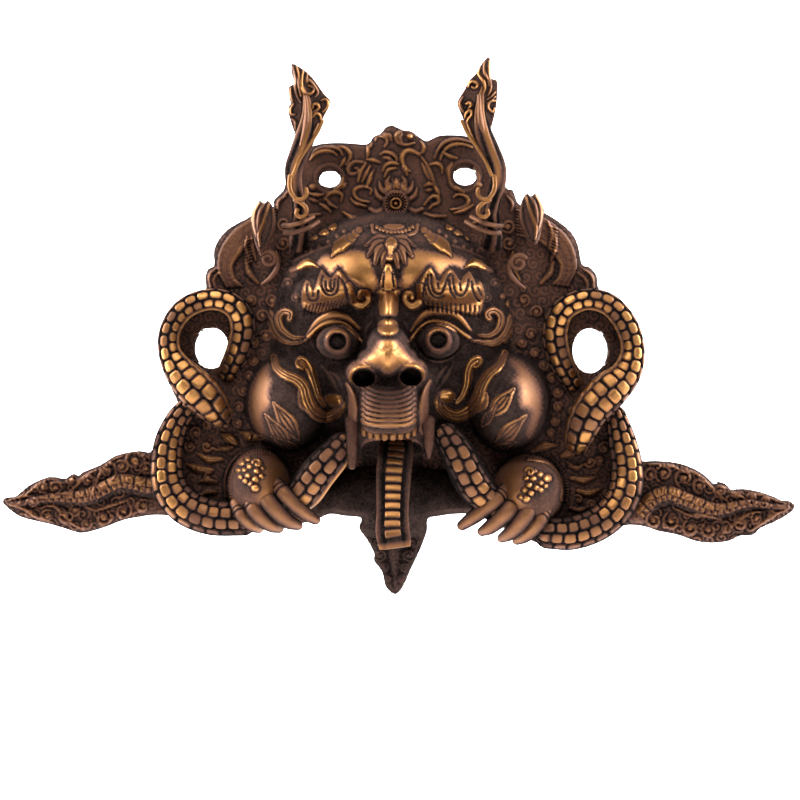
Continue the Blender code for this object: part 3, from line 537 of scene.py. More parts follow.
def foreheadDetail(sheet):
    for side in (1, -1):
        horn = flipped(side, [(349, 239), (342, 244), (336, 250), (331.5, 257)])
        stroke(sheet, horn, 6.6, 9, (0.9, 1, 0.06), gold=0.93, shade=1)
        for k, radius in enumerate((4.6, 4.0, 3.2)):
            spot = flipped(side, [(352 + 3.6 * k, 236.5 - 3.4 * k)])[0]
            bead(sheet, *spot, radius, radius, 6.5, gold=0.72 - 0.1 * k, shade=0.8)
        brow = flipped(side, [(300, 266.5), (308, 263), (318, 267)])
        stroke(sheet, brow, 4.8, 7, (0.7, 1, 0.06), gold=0.85, shade=1)
        stroke(sheet, flipped(side, [(291, 270), (300, 267)]), 3, 5, gold=0.2)
        for u, v, r in [(300, 244, 3.6), (312, 235.3, 5.4), (323.4, 230.6, 5.2), (332.5, 226.5, 4)]:
            spot = flipped(side, [(u, v)])[0]
            bead(sheet, *spot, r * 1.15, r, 7.5, gold=0.35 if u == 300 else 0.8, shade=1)
        for u, v in [(305, 251), (311, 250), (319, 246.5), (328, 241.5), (337, 236), (344, 231)]:
            bead(sheet, *flipped(side, [(u, v)])[0], 2.2, 2.2, 4, gold=0.28)
        stroke(sheet, flipped(side, [(290, 262), (302, 256), (316, 250), (330, 245)]), 1.6, 3, gold=0.12)
        stroke(sheet, flipped(side, [(296, 236), (306, 229), (318, 223), (330, 219)]), 2, 3.6, gold=0.2)
        for u, v, r, start in [(283, 268, 5, 40), (288, 283, 5.5, 150), (296, 297, 4.6, 60),
                               (276, 280, 4.5, 220)]:
            first = start if side == 1 else 180 - start
            curl(sheet, flipped(side, [(u, v)])[0], r, first, side, 1.3, 1.6, 3, 0.1)
    # the pendant that hangs over the brow
    bead(sheet, 394, 226.5, 10.5, 3, 6, gold=0.5, shade=0.8)
    for k in range(11):
        t = -1 + 2 * k / 10
        bead(sheet, 395 + 18 * t, 232 - 5 * t * t, 1.9, 1.9, 6, gold=0.66)
    stroke(sheet, [(372, 225), (375, 233), (395, 237), (414, 233), (417.5, 225)], 1.6, 5.5, gold=0.45)
    for side in (-1, 1):
        for points, width, gold in [
            ([(390, 241), (390 + 12 * side, 239), (390 + 25 * side, 246)], 4.6, 0.3),
            ([(390, 243), (390 + 13 * side, 245), (390 + 22 * side, 256)], 5.2, 0.38),
            ([(390, 244), (390 + 10 * side, 250), (390 + 15 * side, 264)], 5.2, 0.42),
            ([(390, 248), (390 + 5 * side, 256), (390 + 8 * side, 268)], 4, 0.5),
        ]:
            ribbon(sheet, points, width, 6, (0.6, 1, 0.25), gold=gold, lines=(0.0,), shade=0.9)
    bead(sheet, 391, 237.5, 3, 2.6, 9, gold=0.7)
    bead(sheet, 391.3, 244, 5.8, 6.4, 13, gold=1.0, shade=0.9)
    stroke(sheet, [(390.8, 248), (390, 256)], 3, 11, (1, 0.8, 0.6), gold=0.95, shade=0.8)
    bead(sheet, 389.6, 258.6, 3.4, 3.1, 11, gold=0.95, shade=0.8)
    wedge = [(385.5, 264), (390.5, 264), (394.5, 276), (397.5, 286), (393.5, 289.5), (388, 290.5),
             (382.5, 289.5), (379.5, 286), (382, 276)]
    patch(sheet, wedge, 9, gold=0.95, shade=1, soft=2.2)
    for line in ([(384.4, 272), (382.8, 287)], [(392, 272), (394, 287)]):
        stroke(sheet, line, 1.1, -5, shade=0.95)


def crownDetail(sheet):
    scrolls = [
        [(375.7, 140), (377, 136.6), (381, 135.6), (386.4, 138), (387.3, 142.3), (384.6, 146.3)],
        [(383, 133.4), (390, 136), (391, 140.5)], [(372, 143), (370, 148)],
        [(414, 143), (406, 144.6), (399, 143), (396.3, 138.8), (397, 134.3), (401.6, 130.7), (408, 131),
         (416, 136)],
        [(402, 134), (400, 138), (402, 142)],
        [(420.8, 141.4), (423.5, 146), (423.5, 150.4), (420.4, 154)],
        [(421.3, 156.6), (426.6, 164.6), (431, 173.6), (433.8, 182.5), (439, 191.4)],
        [(422, 163.5), (425.7, 172), (429.3, 180)],
        [(430, 164.5), (437.3, 163.4), (441.8, 167.3), (442.2, 173)],
        [(424.4, 186), (429, 183.6), (433.5, 185)], [(425.7, 190.5), (432, 189.6)],
        [(434, 187), (438, 192), (439, 197)],
        [(424, 205.4), (429.3, 198.6), (434.6, 196), (438.6, 198.6), (438.2, 202.6), (432.9, 205),
         (429, 209)],
        [(434.6, 158), (438.2, 149.5), (443.6, 143.2), (450.7, 140), (458.8, 139.2), (470, 142)],
        [(440, 160), (442.7, 153), (448, 146.8), (456, 144), (465, 144.6), (472, 147.4)],
        [(455, 186.6), (460, 190), (464, 192)], [(474, 168), (478, 175), (478, 183), (474, 187)],
        [(453.4, 197), (458, 194.4), (465, 196), (468.4, 200.4), (466, 206), (459.6, 208.4),
         (450.7, 209.6)],
        [(454, 213), (465, 210), (473, 205)], [(449, 178), (451, 185), (456, 190)],
        [(338, 146.4), (345, 148), (350, 153), (350, 158), (345.6, 165)], [(345, 158), (341, 166)],
        [(312, 155), (316, 150), (322.7, 147.4), (331.8, 147), (339.5, 149.8), (342.5, 155)],
        [(310, 160), (316, 153.6), (324, 151), (332, 151.4), (337, 155)],
        [(367.7, 145), (368.2, 152), (367, 159)],
        [(366, 162.6), (362.3, 162), (355.2, 161.5), (350, 164.6), (348.2, 169.6), (350.7, 173.8),
         (357, 172.7), (358, 169), (355, 168)],
        [(366, 163), (361, 171), (358, 181.6)], [(370, 166), (366, 174), (362, 182)],
        [(374, 170), (370, 177), (367, 184)],
        [(366.8, 159.6), (373, 160), (380, 162.4)],
        [(380, 154.6), (384.6, 152), (391.8, 153.6), (396.6, 158.4), (396, 163)],
        [(383, 157.5), (388, 158), (394, 162)], [(398, 163.8), (390, 163), (385, 166), (382.6, 171)],
        [(396, 168), (388, 170), (384.5, 177)], [(402.5, 163), (404, 172)], [(406, 166), (407, 175)],
        [(370, 194), (371.6, 190), (366.8, 187.2), (359.6, 187), (354.3, 190.5), (355, 196), (360.5, 200.4),
         (369, 202)],
        [(350.7, 198.4), (355.2, 203), (367, 206.6)], [(372, 172), (370, 180), (366, 188)],
        [(309, 193), (316, 195), (323, 194.4)], [(310, 198.8), (318, 201.8)],
        [(341, 201.6), (342, 195), (337, 192.2), (330, 193.4), (324.2, 199.6)],
        [(320, 204), (327, 208), (331, 212)],
        [(326, 199), (330, 204), (337, 208)], [(343, 178), (341, 185), (334, 190)],
        [(346, 183), (343, 188)],
        [(300, 222), (310, 216), (320, 214)], [(470, 225), (480, 219), (486, 214)],
        [(343, 212), (352, 217), (362, 218)], [(424, 213), (434, 216), (446, 216)],
        [(452, 163), (448, 170), (449, 178)], [(443, 152), (449, 156), (457, 158)],
    ]
    for number, points in enumerate(scrolls):
        stroke(sheet, points, 2.5, 5, (0.5, 1, 0.5), gold=(0.44, 0.32, 0.5)[number % 3], shade=0.6)
    crescent = [(419, 154.4), (412.3, 150.8), (406.5, 150.8), (402.8, 154.4), (402, 160), (404.6, 166),
                (411, 171.6)]
    stroke(sheet, crescent, 3.2, 5.6, (0.7, 1, 0.3), gold=0.5)
    bead(sheet, 409.6, 136.6, 3.4, 3.0, 6, gold=0.7)
    bead(sheet, 312.7, 187, 4, 3.6, 5, gold=0.4)
    bead(sheet, 478.4, 185, 4, 3.6, 5, gold=0.45)
    for k in range(9):  # flame petals above the rosette
        t = (k - 4) / 4
        petal = [(396 + 5 * t, 192 + 3 * t * t), (396 + 11 * t, 184 + 5 * t * t),
                 (396 + 16 * t, 177 + 11 * t * t)]
        leaf(sheet, petal, 2.5, 6, gold=0.5 if k % 2 else 0.36, vein=0.2)
    for side in (-1, 1):  # its collar, then the petals beside it
        collar = [(396 + out * side, v) for out, v in ((14, 209), (20, 211), (26, 209))]
        stroke(sheet, collar, 2.6, 5, gold=0.26, shade=0.7)
    petals = [
        [(9, 194), (15, 189), (17, 181)], [(14, 199), (19, 195), (21, 188)], [(8, 189), (9, 182), (6, 176)],
    ]
    for side in (-1, 1):
        for petal in petals:
            points = [(396 + out * side, v) for out, v in petal]
            stroke(sheet, points, 3, 5.5, (1, 1, 0.3), gold=0.26, shade=0.7)
    bead(sheet, 396.4, 184.4, 3.4, 6.6, 8, gold=0.4, shade=0.8)
    stroke(sheet, coil((395.8, 203.5), 11.6, 0, 1, 1, 26), 2.0, 6.5, gold=0.26, shade=0.8)
    for k in range(22):
        a = math.tau * k / 22
        ends = [(395.8 + r * math.cos(a), 203.5 + r * math.sin(a)) for r in (7.4, 10.6)]
        stroke(sheet, ends, 0.85, 7.2, gold=0.42, shade=0.7)
    stroke(sheet, coil((395.8, 203.5), 5.0, 0, 1, 1, 18), 1.4, 8, gold=0.6, shade=0.7)
    bead(sheet, 395.8, 203.5, 2.5, 2.5, 9, gold=0.8)
    for u, v in [(384, 216), (388, 219), (396, 218), (403, 219), (408, 216), (378, 218), (413, 218)]:
        bead(sheet, u, v, 2.4, 2, 5, gold=0.4)
    for u, v, ru, _ in casting["nailHoles"]:
        stroke(sheet, coil((u, v), ru + 3.5, 0, 1, 1, 26), 2.2, 2, gold=0.1)


def fanDetail(sheet):  # the ribbed hair on both sides of the crown
    for k in range(9):
        t = k / 8
        gold = (0.48, 0.22, 0.34)[k % 3]
        left = [(276 - 1 * t, 205 + 24 * t), (252 - 2 * t, 218 + 22 * t), (235 + 3 * t, 232 + 22 * t),
                (222 + 10 * t, 250 + 15 * t), (219 + 15 * t, 270 + 8 * t), (227 + 15 * t, 287 - 1 * t)]
        stroke(sheet, left, 2.6, 6.6, (0.4, 1, 0.4), gold=gold, shade=0.7)
        right = [(516 + 1 * t, 210 + 24 * t), (541 - 1 * t, 218 + 22 * t), (560 - 5 * t, 232 + 22 * t),
                 (572 - 11 * t, 249 + 16 * t), (575 - 16 * t, 269 + 8 * t), (568 - 15 * t, 286 - 2 * t)]
        stroke(sheet, right, 2.6, 6.6, (0.4, 1, 0.4), gold=gold, shade=0.7)
    for points in [[(216, 268), (209, 276), (211, 288)], [(219, 272), (214, 279), (216, 290)],
                   [(583, 269), (592, 276), (594, 290)], [(578, 273), (586, 280), (588, 292)],
                   [(286, 196), (279, 201), (278, 209)], [(292, 180), (289, 190), (283, 197)],
                   [(507, 196), (512, 203), (511, 211)]]:
        stroke(sheet, points, 2.2, 4, (0.6, 1, 0.6), gold=0.25)
    spots = [  # curls that fill the field: centre, radius, start and hand
        (284, 224, 7, 40, 1), (283, 243, 6.5, 160, -1), (272, 300, 6, 90, 1), (262, 316, 6.5, 20, -1),
        (266, 336, 6, 200, 1), (251, 300, 5, 90, -1), (254, 343, 5, 200, 1), (254, 361, 4.8, 200, -1),
        (249, 376, 4.8, 200, 1), (243, 391, 5, 200, -1), (239, 407, 5, 200, 1), (238, 423, 4.6, 200, -1),
        (247, 437, 4.6, 220, 1), (225, 425, 5.5, 90, 1), (208, 425, 5.5, 0, -1), (196, 432, 6, 120, 1),
        (190, 446, 5.5, 220, -1), (187, 492, 5.5, 10, 1), (199, 499, 6, 90, -1), (213, 505, 5.5, 180, 1),
        (508, 226, 7, 140, -1), (509, 243, 6.5, 20, 1), (524, 300, 6, 90, -1), (537, 312, 6.5, 160, 1),
        (531, 334, 5.5, -20, -1), (522, 343, 4.6, -20, 1), (535, 353, 5, -20, -1), (543.5, 365, 5, -20, 1),
        (552, 378, 5, -20, -1), (557.5, 392.5, 5, -20, 1), (558, 407, 5, -20, -1), (555, 421, 4.6, -20, 1),
        (551, 433, 4, -20, -1), (572, 412, 5.5, 90, -1), (590, 436, 6, 60, 1), (604, 447, 5.5, -40, -1),
        (606, 494, 5.5, 170, -1), (592, 505, 5.5, 90, 1), (600, 460, 5, 60, 1), (199, 414, 4.5, 60, -1),
    ]
    for u, v, radius, start, hand in spots:
        curl(sheet, (u, v), radius, start, hand, 1.35, 2.0, 5, 0.24)


def handDetail(sheet):
    clusters = [
        [(240.7, 462, 4), (244, 470, 2.4), (248, 475.6, 3), (255.7, 479.3, 3.6), (249.5, 466, 3.2),
         (257, 471, 3.2), (248, 458.5, 3), (262, 476, 3), (251, 484.5, 3), (245, 481, 2.8),
         (255.5, 488, 4.2), (259.5, 464, 3.4), (238, 470, 2.6), (240, 477, 2.6), (263, 468, 2.4)],
        [(547.7, 478, 4.4), (541, 483, 2.6), (536.4, 487.7, 3), (540, 474, 3.2), (533, 478.5, 3.2),
         (529, 485, 3.2), (541, 490, 2.6), (526, 478, 2.8), (531, 493, 3.2), (524.5, 490, 3),
         (526, 499, 3.8), (534, 471, 3), (520.5, 497, 2.6), (546, 486, 2.4)],
    ]
    for cluster in clusters:
        middle = np.mean(cluster, 0)[:2]
        behind = np.clip(1.6 * bump(sheet, *middle, 14, 16), 0, 1)
        sheet.dark = np.maximum(sheet.dark, 0.75 * behind)
        for u, v, r in cluster:
            bead(sheet, u, v, r, r * 0.86, 4.2, gold=0.78, shade=1)
    for centre, start in (((257.5, 463.5), 200), ((529.5, 472), 200)):
        stroke(sheet, coil(centre, 4.8, start, 1, 0.2), 1.4, 4.4, gold=0.7, shade=1)
    cuffs = [
        [(226, 497), (225, 480), (230, 465), (240, 454), (254, 448), (270, 448)],
        [(528, 459), (546, 461.5), (557, 470), (563, 484), (562, 500)],
    ]
    for cuff in cuffs:
        stroke(sheet, cuff, 1.7, 6, gold=0.36, shade=0.7)
    for cuff, push in ((cuffs[0], -5), (cuffs[1], 5)):  # a band of ticks around the cuffs
        line = smoothLine(cuff, 6)
        along = np.gradient(line, axis=0)
        side = np.stack([along[:, 1], -along[:, 0]], -1) / np.hypot(along[:, 0], along[:, 1])[:, None]
        for spot, out in zip(line, side * push):
            stroke(sheet, [spot + 0.5 * out, spot + 1.05 * out], 1.0, 4.5, gold=0.24, shade=0.5)
    for points, width, gold in [
        ([(212, 470), (199, 469), (184, 463)], 4.6, 0.42),
        ([(222, 459), (208, 459), (195, 452)], 4.4, 0.42),
        ([(233, 447), (226, 449), (216, 446)], 3, 0.3), ([(236, 443), (229, 438), (220, 433)], 5.4, 0.45),
        ([(262, 438), (250, 436), (238, 431)], 5, 0.45), ([(216, 482), (206, 480), (197, 483)], 3.4, 0.3),
        ([(216, 492), (206, 492), (198, 497)], 3.2, 0.22), ([(219, 503), (210, 505), (203, 511)], 3, 0.2),
        ([(532, 452), (545, 446), (559, 445)], 5, 0.28), ([(562, 456), (570, 453), (580, 449)], 5.4, 0.32),
        ([(571, 478), (584, 480), (599, 476)], 4.4, 0.35), ([(578, 491), (590, 493), (603, 488)], 4.4, 0.4),
        ([(569, 466), (577, 468), (585, 464)], 3, 0.25), ([(570, 508), (580, 510), (590, 506)], 3, 0.2),
    ]:
        leaf(sheet, points, width, 7, gold=gold + 0.12, vein=0.15)
    curl(sheet, (207, 446), 5.4, 20, 1, 1.2, 1.7, 5, 0.34, tail=[(229, 446), (219, 450)])
    curl(sheet, (590, 462), 5.4, 160, -1, 1.2, 1.7, 5, 0.34, tail=[(567, 462), (577, 467)])
    curl(sheet, (578, 500), 5, 230, 1, 0.8, 1.7, 5, 0.25)
    curl(sheet, (208, 477), 4.4, 310, -1, 0.8, 1.7, 5, 0.25)


def jawDetail(sheet):
    stroke(sheet, [(330, 514.7), (345, 517), (361, 518)], 1.6, 3, gold=0.1)
    stroke(sheet, [(427, 519), (442, 517), (456, 515)], 1.6, 3, gold=0.1)


def pendantDetail(sheet):
    stroke(sheet, [(394, 524), (394, 552), (396, 590)], 6, 6, (1, 1, 0.2))
    for side in (-1, 1):
        for v, out, radius, hand in [(528, 20, 6.5, 1), (541, 17, 6.5, -1), (555, 14, 6, 1),
                                     (568, 10, 5, -1),
                                     (579, 6.5, 3.6, 1)]:
            curl(sheet, (394.5 + side * out, v), radius, 90 - 60 * side, hand * side, 1.5, 1.8, 4.6, 0.02)
    below = np.clip((sheet.v - 524) / 6, 0, 1) * (np.abs(sheet.u - 394) < 40)  # the leaf below the jaw is made darker
    sheet.dark = np.maximum(sheet.dark, 0.7 * below)


def tailDetail(sheet):
    left = [(158, 487), (146.6, 487.5), (133, 484.5), (120.7, 483), (110, 487), (97, 494), (81, 498.3),
            (60, 498.3), (40, 500), (24, 503), (9, 504)]
    right = [(638, 516), (646, 508), (654, 500), (668, 495), (683, 500), (700, 507), (714, 511),
             (728, 509.5), (742, 505.5), (757, 505), (772, 507), (788, 507)]
    for spine in (left, right):
        stroke(sheet, spine, 10.5, 12, (1, 0.85, 0.2), gold=0.1, flat=0.45, shade=0.6)
    sheet.settle()
    for spine in (left, right):
        line = smoothLine(spine, 8)
        here = sheet.window(line, 14)
        if not sheet.u[here].size:
            continue
        away, share, place = nearest(sheet.u[here], sheet.v[here], line)
        length = np.hypot(*np.diff(line, axis=0).T).sum()
        across = 10.5 * np.interp(share, (0, 0.5, 1), (1, 0.85, 0.2))
        above = sheet.v[here] < place[..., 1] - 0.2
        size = np.where(above, 12.5, 6.0)
        beat = (share * length / size) % 1
        box = np.clip(1.35 - 1.35 * np.abs(2 * beat - 1) ** 5, 0, 1)
        upper = np.clip(1.4 - np.abs(2 * away / across - 1) ** 4 * 1.4, 0, 1)
        lower = np.clip(1.3 - (away / (0.55 * across)) ** 4, 0, 1) * np.clip(0.4 + 0.8 * beat, 0, 1)
        lane = np.where(above, upper, lower)
        scale = box * lane
        inside = (away < across) & (share < 0.9) & (share > 0.01)
        sheet.depth[here] += np.where(inside, 2.8 * scale - 2.4, 0)
        shine = np.where(inside, 0.5 * scale * np.clip(1.2 - 0.7 * share, 0, 1), 0)
        sheet.most("paint", here, shine)
        sheet.most("dark", here, np.where(inside, 0.7 * (1 - scale), 0))
    curls = [  # centre, radius, start, hand
        (134, 461, 11, 60, -1), (107, 470, 9, 60, -1), (88, 481, 6, 80, -1), (71, 480, 6.5, 60, -1),
        (55, 487, 6, 60, -1), (43, 487, 5.5, 60, 1), (33, 502, 5, 200, 1), (147, 469, 6, 200, 1),
        (122, 467, 6, 240, 1), (123, 511, 8, -60, 1), (103, 518, 7.5, -60, 1), (86, 524, 5, -40, 1),
        (65, 515.5, 8, -60, 1), (47, 516, 6, -60, -1), (143, 506, 6, -60, -1), (75, 511, 5, -120, -1),
        (30, 513, 4, 0, 1), (664, 473, 8.5, 120, 1), (684, 478, 8.5, 120, 1), (700, 485, 6.5, 100, 1),
        (720, 491, 5.5, 120, 1), (735, 494, 4.5, 60, -1), (752, 497, 4.5, 120, 1), (766, 500, 3.6, 120, 1),
        (650, 475, 6, -20, -1), (654, 520, 7, 240, -1), (672, 521, 8, 240, -1), (691, 528, 7.5, 240, -1),
        (709, 530, 7, 240, -1), (726, 528, 5.5, 240, 1), (741, 523, 6, 240, -1), (757, 519, 5, 240, -1),
        (771, 515, 3.6, 240, 1),
    ]
    for u, v, radius, start, hand in curls:
        curl(sheet, (u, v), 1.15 * radius, start, hand, 1.25, 2.2, 4.6, 0.26)
    for points in [
        [(90, 500), (98, 478), (110, 461), (122, 456)], [(60, 494), (72, 490), (84, 477), (96, 470)],
        [(20, 499), (32, 490), (44, 480), (58, 479)], [(86, 507), (96, 510), (112, 505), (128, 500)],
        [(40, 508), (54, 506), (70, 522), (84, 530)], [(10, 505), (24, 509), (40, 519), (52, 522)],
        [(8, 501), (18, 497), (30, 496)], [(150, 459), (140, 452), (126, 453), (114, 459)],
        [(728, 502), (716, 492), (700, 476), (684, 468)], [(750, 501), (740, 496), (728, 488), (718, 486)],
        [(786, 504), (776, 500), (764, 495), (752, 494)], [(722, 520), (706, 516), (690, 515), (676, 509)],
        [(762, 512), (748, 514), (734, 524), (720, 536)], [(788, 509), (776, 514), (764, 522), (752, 530)],
        [(648, 464), (660, 464), (672, 466), (680, 470)],
    ]:
        stroke(sheet, points, 2.3, 4.6, (0.4, 1, 0.5), gold=0.34)


def earDetail(sheet):
    for points, width, gold in [
        ([(252, 236), (253, 248), (256, 260)], 2.2, 0.4), ([(276, 252), (279, 262), (268, 281)], 2.6, 0.45),
        ([(247, 237), (246, 247), (249, 258)], 2.2, 0.35), ([(246, 260), (249, 272), (258, 283)], 3.6, 0.3),
        ([(548, 222), (552, 234), (549, 248)], 2.6, 0.45),
        ([(554, 232), (556, 246), (551, 260)], 2.6, 0.35),
        ([(513, 252), (511, 262), (520, 280)], 2.6, 0.4), ([(553, 262), (550, 273), (541, 283)], 3.6, 0.3),
    ]:
        stroke(sheet, points, width, 7, (0.6, 1, 0.6), gold=gold, shade=0.6)
    for k in range(8):  # feathers beside the ears
        v = 238 + 3.2 * k
        stroke(sheet, [(245, v + 3), (252, v)], 1.1, 5, gold=0.3, shade=0.6)
        stroke(sheet, [(550, v - 12), (557, v - 9)], 1.1, 5, gold=0.3, shade=0.6)


def fieldRelief(sheet, detail):  # the ground round the face, with the jaw
    sheet.depth = casting["plate"] + 3 + casting["fieldRise"] * bump(sheet, *casting["field"])
    if detail:
        scrollwork(sheet, **scrollSettings["field"])
        sheet.settle()
        crownDetail(sheet)
        fanDetail(sheet)
        pendantDetail(sheet)
        sheet.settle()
        tailDetail(sheet)
        sheet.settle()
    jaw = dome(sheet, *casting["jaw"])
    smooth = jaw > sheet.depth - 3
    sheet.depth = smoothMax(sheet.depth, jaw, 8)
    sheet.paint = np.where(smooth, 0, sheet.paint)
    sheet.dark = np.where(smooth, 0.75, sheet.dark)
    if detail:
        jawDetail(sheet)
        sheet.settle()


def faceRelief(sheet, detail):
    sheet.paint, sheet.dark = np.zeros_like(sheet.u), np.zeros_like(sheet.u)
    sheet.depth = faceForm(sheet)
    if not detail:
        return
    shadow = sheet.dark.copy()
    scrollwork(sheet, **scrollSettings["hair"])
    brink = 246 + 0.9 * np.clip(np.abs(sheet.u - 391) - 60, 0, None)
    hair = np.clip((brink - sheet.v) / 5, 0, 1)  # the scrollwork is kept above the brow alone
    sheet.raised = hair * sheet.raised
    sheet.paint = hair * sheet.paint
    sheet.dark = np.where(hair > 0, hair * sheet.dark, shadow)
    sheet.settle()
    faceDetail(sheet)
    sheet.settle()
    cheekDetail(sheet)
    foreheadDetail(sheet)
    sheet.settle()


def fistRelief(sheet):
    for u, v, middle, ru, rv in casting["fists"]:
        fist = dome(sheet, u, v, ru, rv, middle + 26, middle - 50, 0.42)
        bare = 0.4 * np.clip(1.5 * bump(sheet, 389 + 0.9 * (u - 389), v - 6, 15, 26), 0, 1)
        sheet.paint = np.where(fist > sheet.depth, 0.12 + bare, sheet.paint)
        sheet.dark = np.where(fist > sheet.depth, 0, sheet.dark)
        sheet.depth = smoothMax(sheet.depth, fist, 3)


def relief(sheet, detail=True):  # the whole front of the casting, on any patch of the drawing
    outline = smoothLine([*outlinePoints, outlinePoints[0]], 3)
    sheet.edge, _, sheet.onEdge = nearest(sheet.u, sheet.v, outline)
    sheet.inside = insideLine(sheet.u, sheet.v, outline)
    fieldRelief(sheet, detail)
    field, fieldPaint, fieldDark = sheet.depth, sheet.paint, sheet.dark
    faceRelief(sheet, detail)
    behind = sheet.depth < field
    sheet.paint = np.where(behind, fieldPaint, sheet.paint)
    sheet.dark = np.where(behind, fieldDark, sheet.dark)
    sheet.depth = smoothMax(field, sheet.depth, 6)
    u, v, ru, rv = casting["mouth"]
    gape = np.clip(5 - 5 * np.abs((sheet.u - u) / ru) ** 4 - 5 * np.abs((sheet.v - v) / rv) ** 4, 0, 1)
    sheet.depth = sheet.depth + (np.minimum(sheet.depth, casting["mouthDepth"]) - sheet.depth) * gape
    sheet.paint = sheet.paint * (1 - gape)
    rim = np.clip(np.where(sheet.inside, sheet.edge, 0) / 6, 0, 1)
    foot = 0.7 * casting["plate"]
    sheet.depth = foot + (sheet.depth - foot) * np.sqrt(1 - (1 - rim) ** 2)
    fistRelief(sheet)
    if detail:
        handDetail(sheet)
        earDetail(sheet)
        sheet.settle()
    for points in snakes.values():  # metal fills the space behind the snakes
        line = smoothLine(points, 4)
        here = sheet.window(line, 20)
        if sheet.u[here].size:
            away, _, place = nearest(sheet.u[here], sheet.v[here], line)
            under = np.where(away < 0.8 * place[..., 3], place[..., 2], 0)
            sheet.depth[here] = np.maximum(sheet.depth[here], under)
            sheet.paint[here] = np.where(away < 0.8 * place[..., 3], 0, sheet.paint[here])


polishSettings = {
    "least": 0.05,
    "fine": (2.2, 0.05),  # reach of the small ridges, and how much more of the gold they show
    "wide": (8, 0.006),
    "rim": 5,  # the outermost units of the casting are darker
}
goldAreas = [  # strength, softness of the edge, and the outline of what is rubbed bare
    (0.68, 4.5, [
        (315, 263), (322, 254), (331, 253), (340, 251), (352, 249), (363, 250), (370, 256),
        (374, 268), (379, 280), (381, 292), (372, 294), (362, 290), (354, 285), (345, 276),
        (339, 267), (331, 277), (322, 267), (317, 269),
    ]),
    (0.62, 4.5, [
        (408, 251), (418, 248), (430, 250), (440, 252), (452, 252), (463, 256), (470, 264),
        (463, 271), (451, 267), (440, 279), (430, 265), (421, 277), (412, 287), (403, 293),
        (400, 280), (403, 266),
    ]),
    (0.4, 5, [
        (372, 280), (405, 280), (403, 300), (400, 318), (378, 318), (375, 300),
    ]),
    (0.56, 7, [
        (266, 361), (272.5, 358.6), (271, 373), (274, 381), (271, 394), (273, 403), (268, 412),
        (264, 417), (266, 428), (268, 442), (258, 440), (250, 428), (246, 410), (247, 390),
        (253, 374), (259, 366),
    ]),
    (0.5, 8, [
        (505, 355), (514, 355), (526, 362), (537, 376), (544, 395), (544, 412), (539, 428),
        (530, 442), (524, 432), (529, 414), (519, 409), (517, 398), (516, 387), (511, 384),
        (508.6, 383), (514, 373), (508.6, 364),
    ]),
    (0.7, 6, [
        (388, 334), (397, 338), (406, 348), (414, 357), (424, 362), (423, 368), (410, 366),
        (400, 369), (394, 374), (388, 376), (382, 374), (376, 369), (364, 366), (352, 371),
        (348, 369), (353, 362), (364, 356), (372, 347), (379, 338),
    ]),
]


def polish(sheet):  # bare gold where hands and cloth have rubbed the patina away
    look = polishSettings
    fine = sheet.depth - blurred(sheet.depth, max(1, int(look["fine"][0] / sheet.step)), 2)
    wide = sheet.depth - blurred(sheet.depth, max(2, int(look["wide"][0] / sheet.step)), 2)
    slopeV, slopeU = np.gradient(sheet.depth, sheet.step)
    facing = 1 / np.sqrt(1 + slopeU**2 + slopeV**2)
    broad = np.zeros_like(sheet.depth)
    for strength, soft, points in goldAreas:
        line = smoothLine([*points, points[0]], 3)
        here = sheet.window(line, 2)
        if sheet.u[here].size:
            u, v = sheet.u[here], sheet.v[here]
            away, _, _ = nearest(u, v, line)
            ragged = 0.5 * np.sin(1.3 * u + 2 * np.sin(0.7 * v))
            ragged = ragged + 0.5 * np.sin(1.1 * v + 2 * np.sin(0.9 * u))
            share = np.clip((away + ragged) / soft, 0, 1) * insideLine(u, v, line)
            broad[here] = np.maximum(broad[here], strength * share)
    rub = np.maximum(broad, sheet.paint) + look["fine"][1] * fine + look["wide"][1] * np.clip(wide, -8, 8)
    rub = np.clip(rub, 0, 1) * (1 - sheet.dark) * np.clip(0.35 + 0.75 * facing, 0, 1)
    rimmed = np.clip(0.25 + sheet.edge / look["rim"], 0, 1)
    return look["least"] + (1 - look["least"]) * rub * rimmed


# Turning patches and rods into meshes.

castingPieces = []


def finish(name, bm, material):  # makes a bmesh a piece of the mask
    mesh = bpy.data.meshes.new(name)
    bm.to_mesh(mesh)
    bm.free()
    mesh.polygons.foreach_set("use_smooth", [True] * len(mesh.polygons))
    made = bpy.data.objects.new(name, mesh)
    bpy.context.scene.collection.objects.link(made)
    mesh.materials.append(material)
    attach(made, "root")
    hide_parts("mask")
    castingPieces.append(made)
    print(name, len(mesh.polygons), "faces")
    return made


def ovalLine(u, v, ru, rv, count=48):
    a = np.linspace(0, math.tau, count + 1)
    return np.stack([u + ru * np.cos(a), v + rv * np.sin(a)], -1)


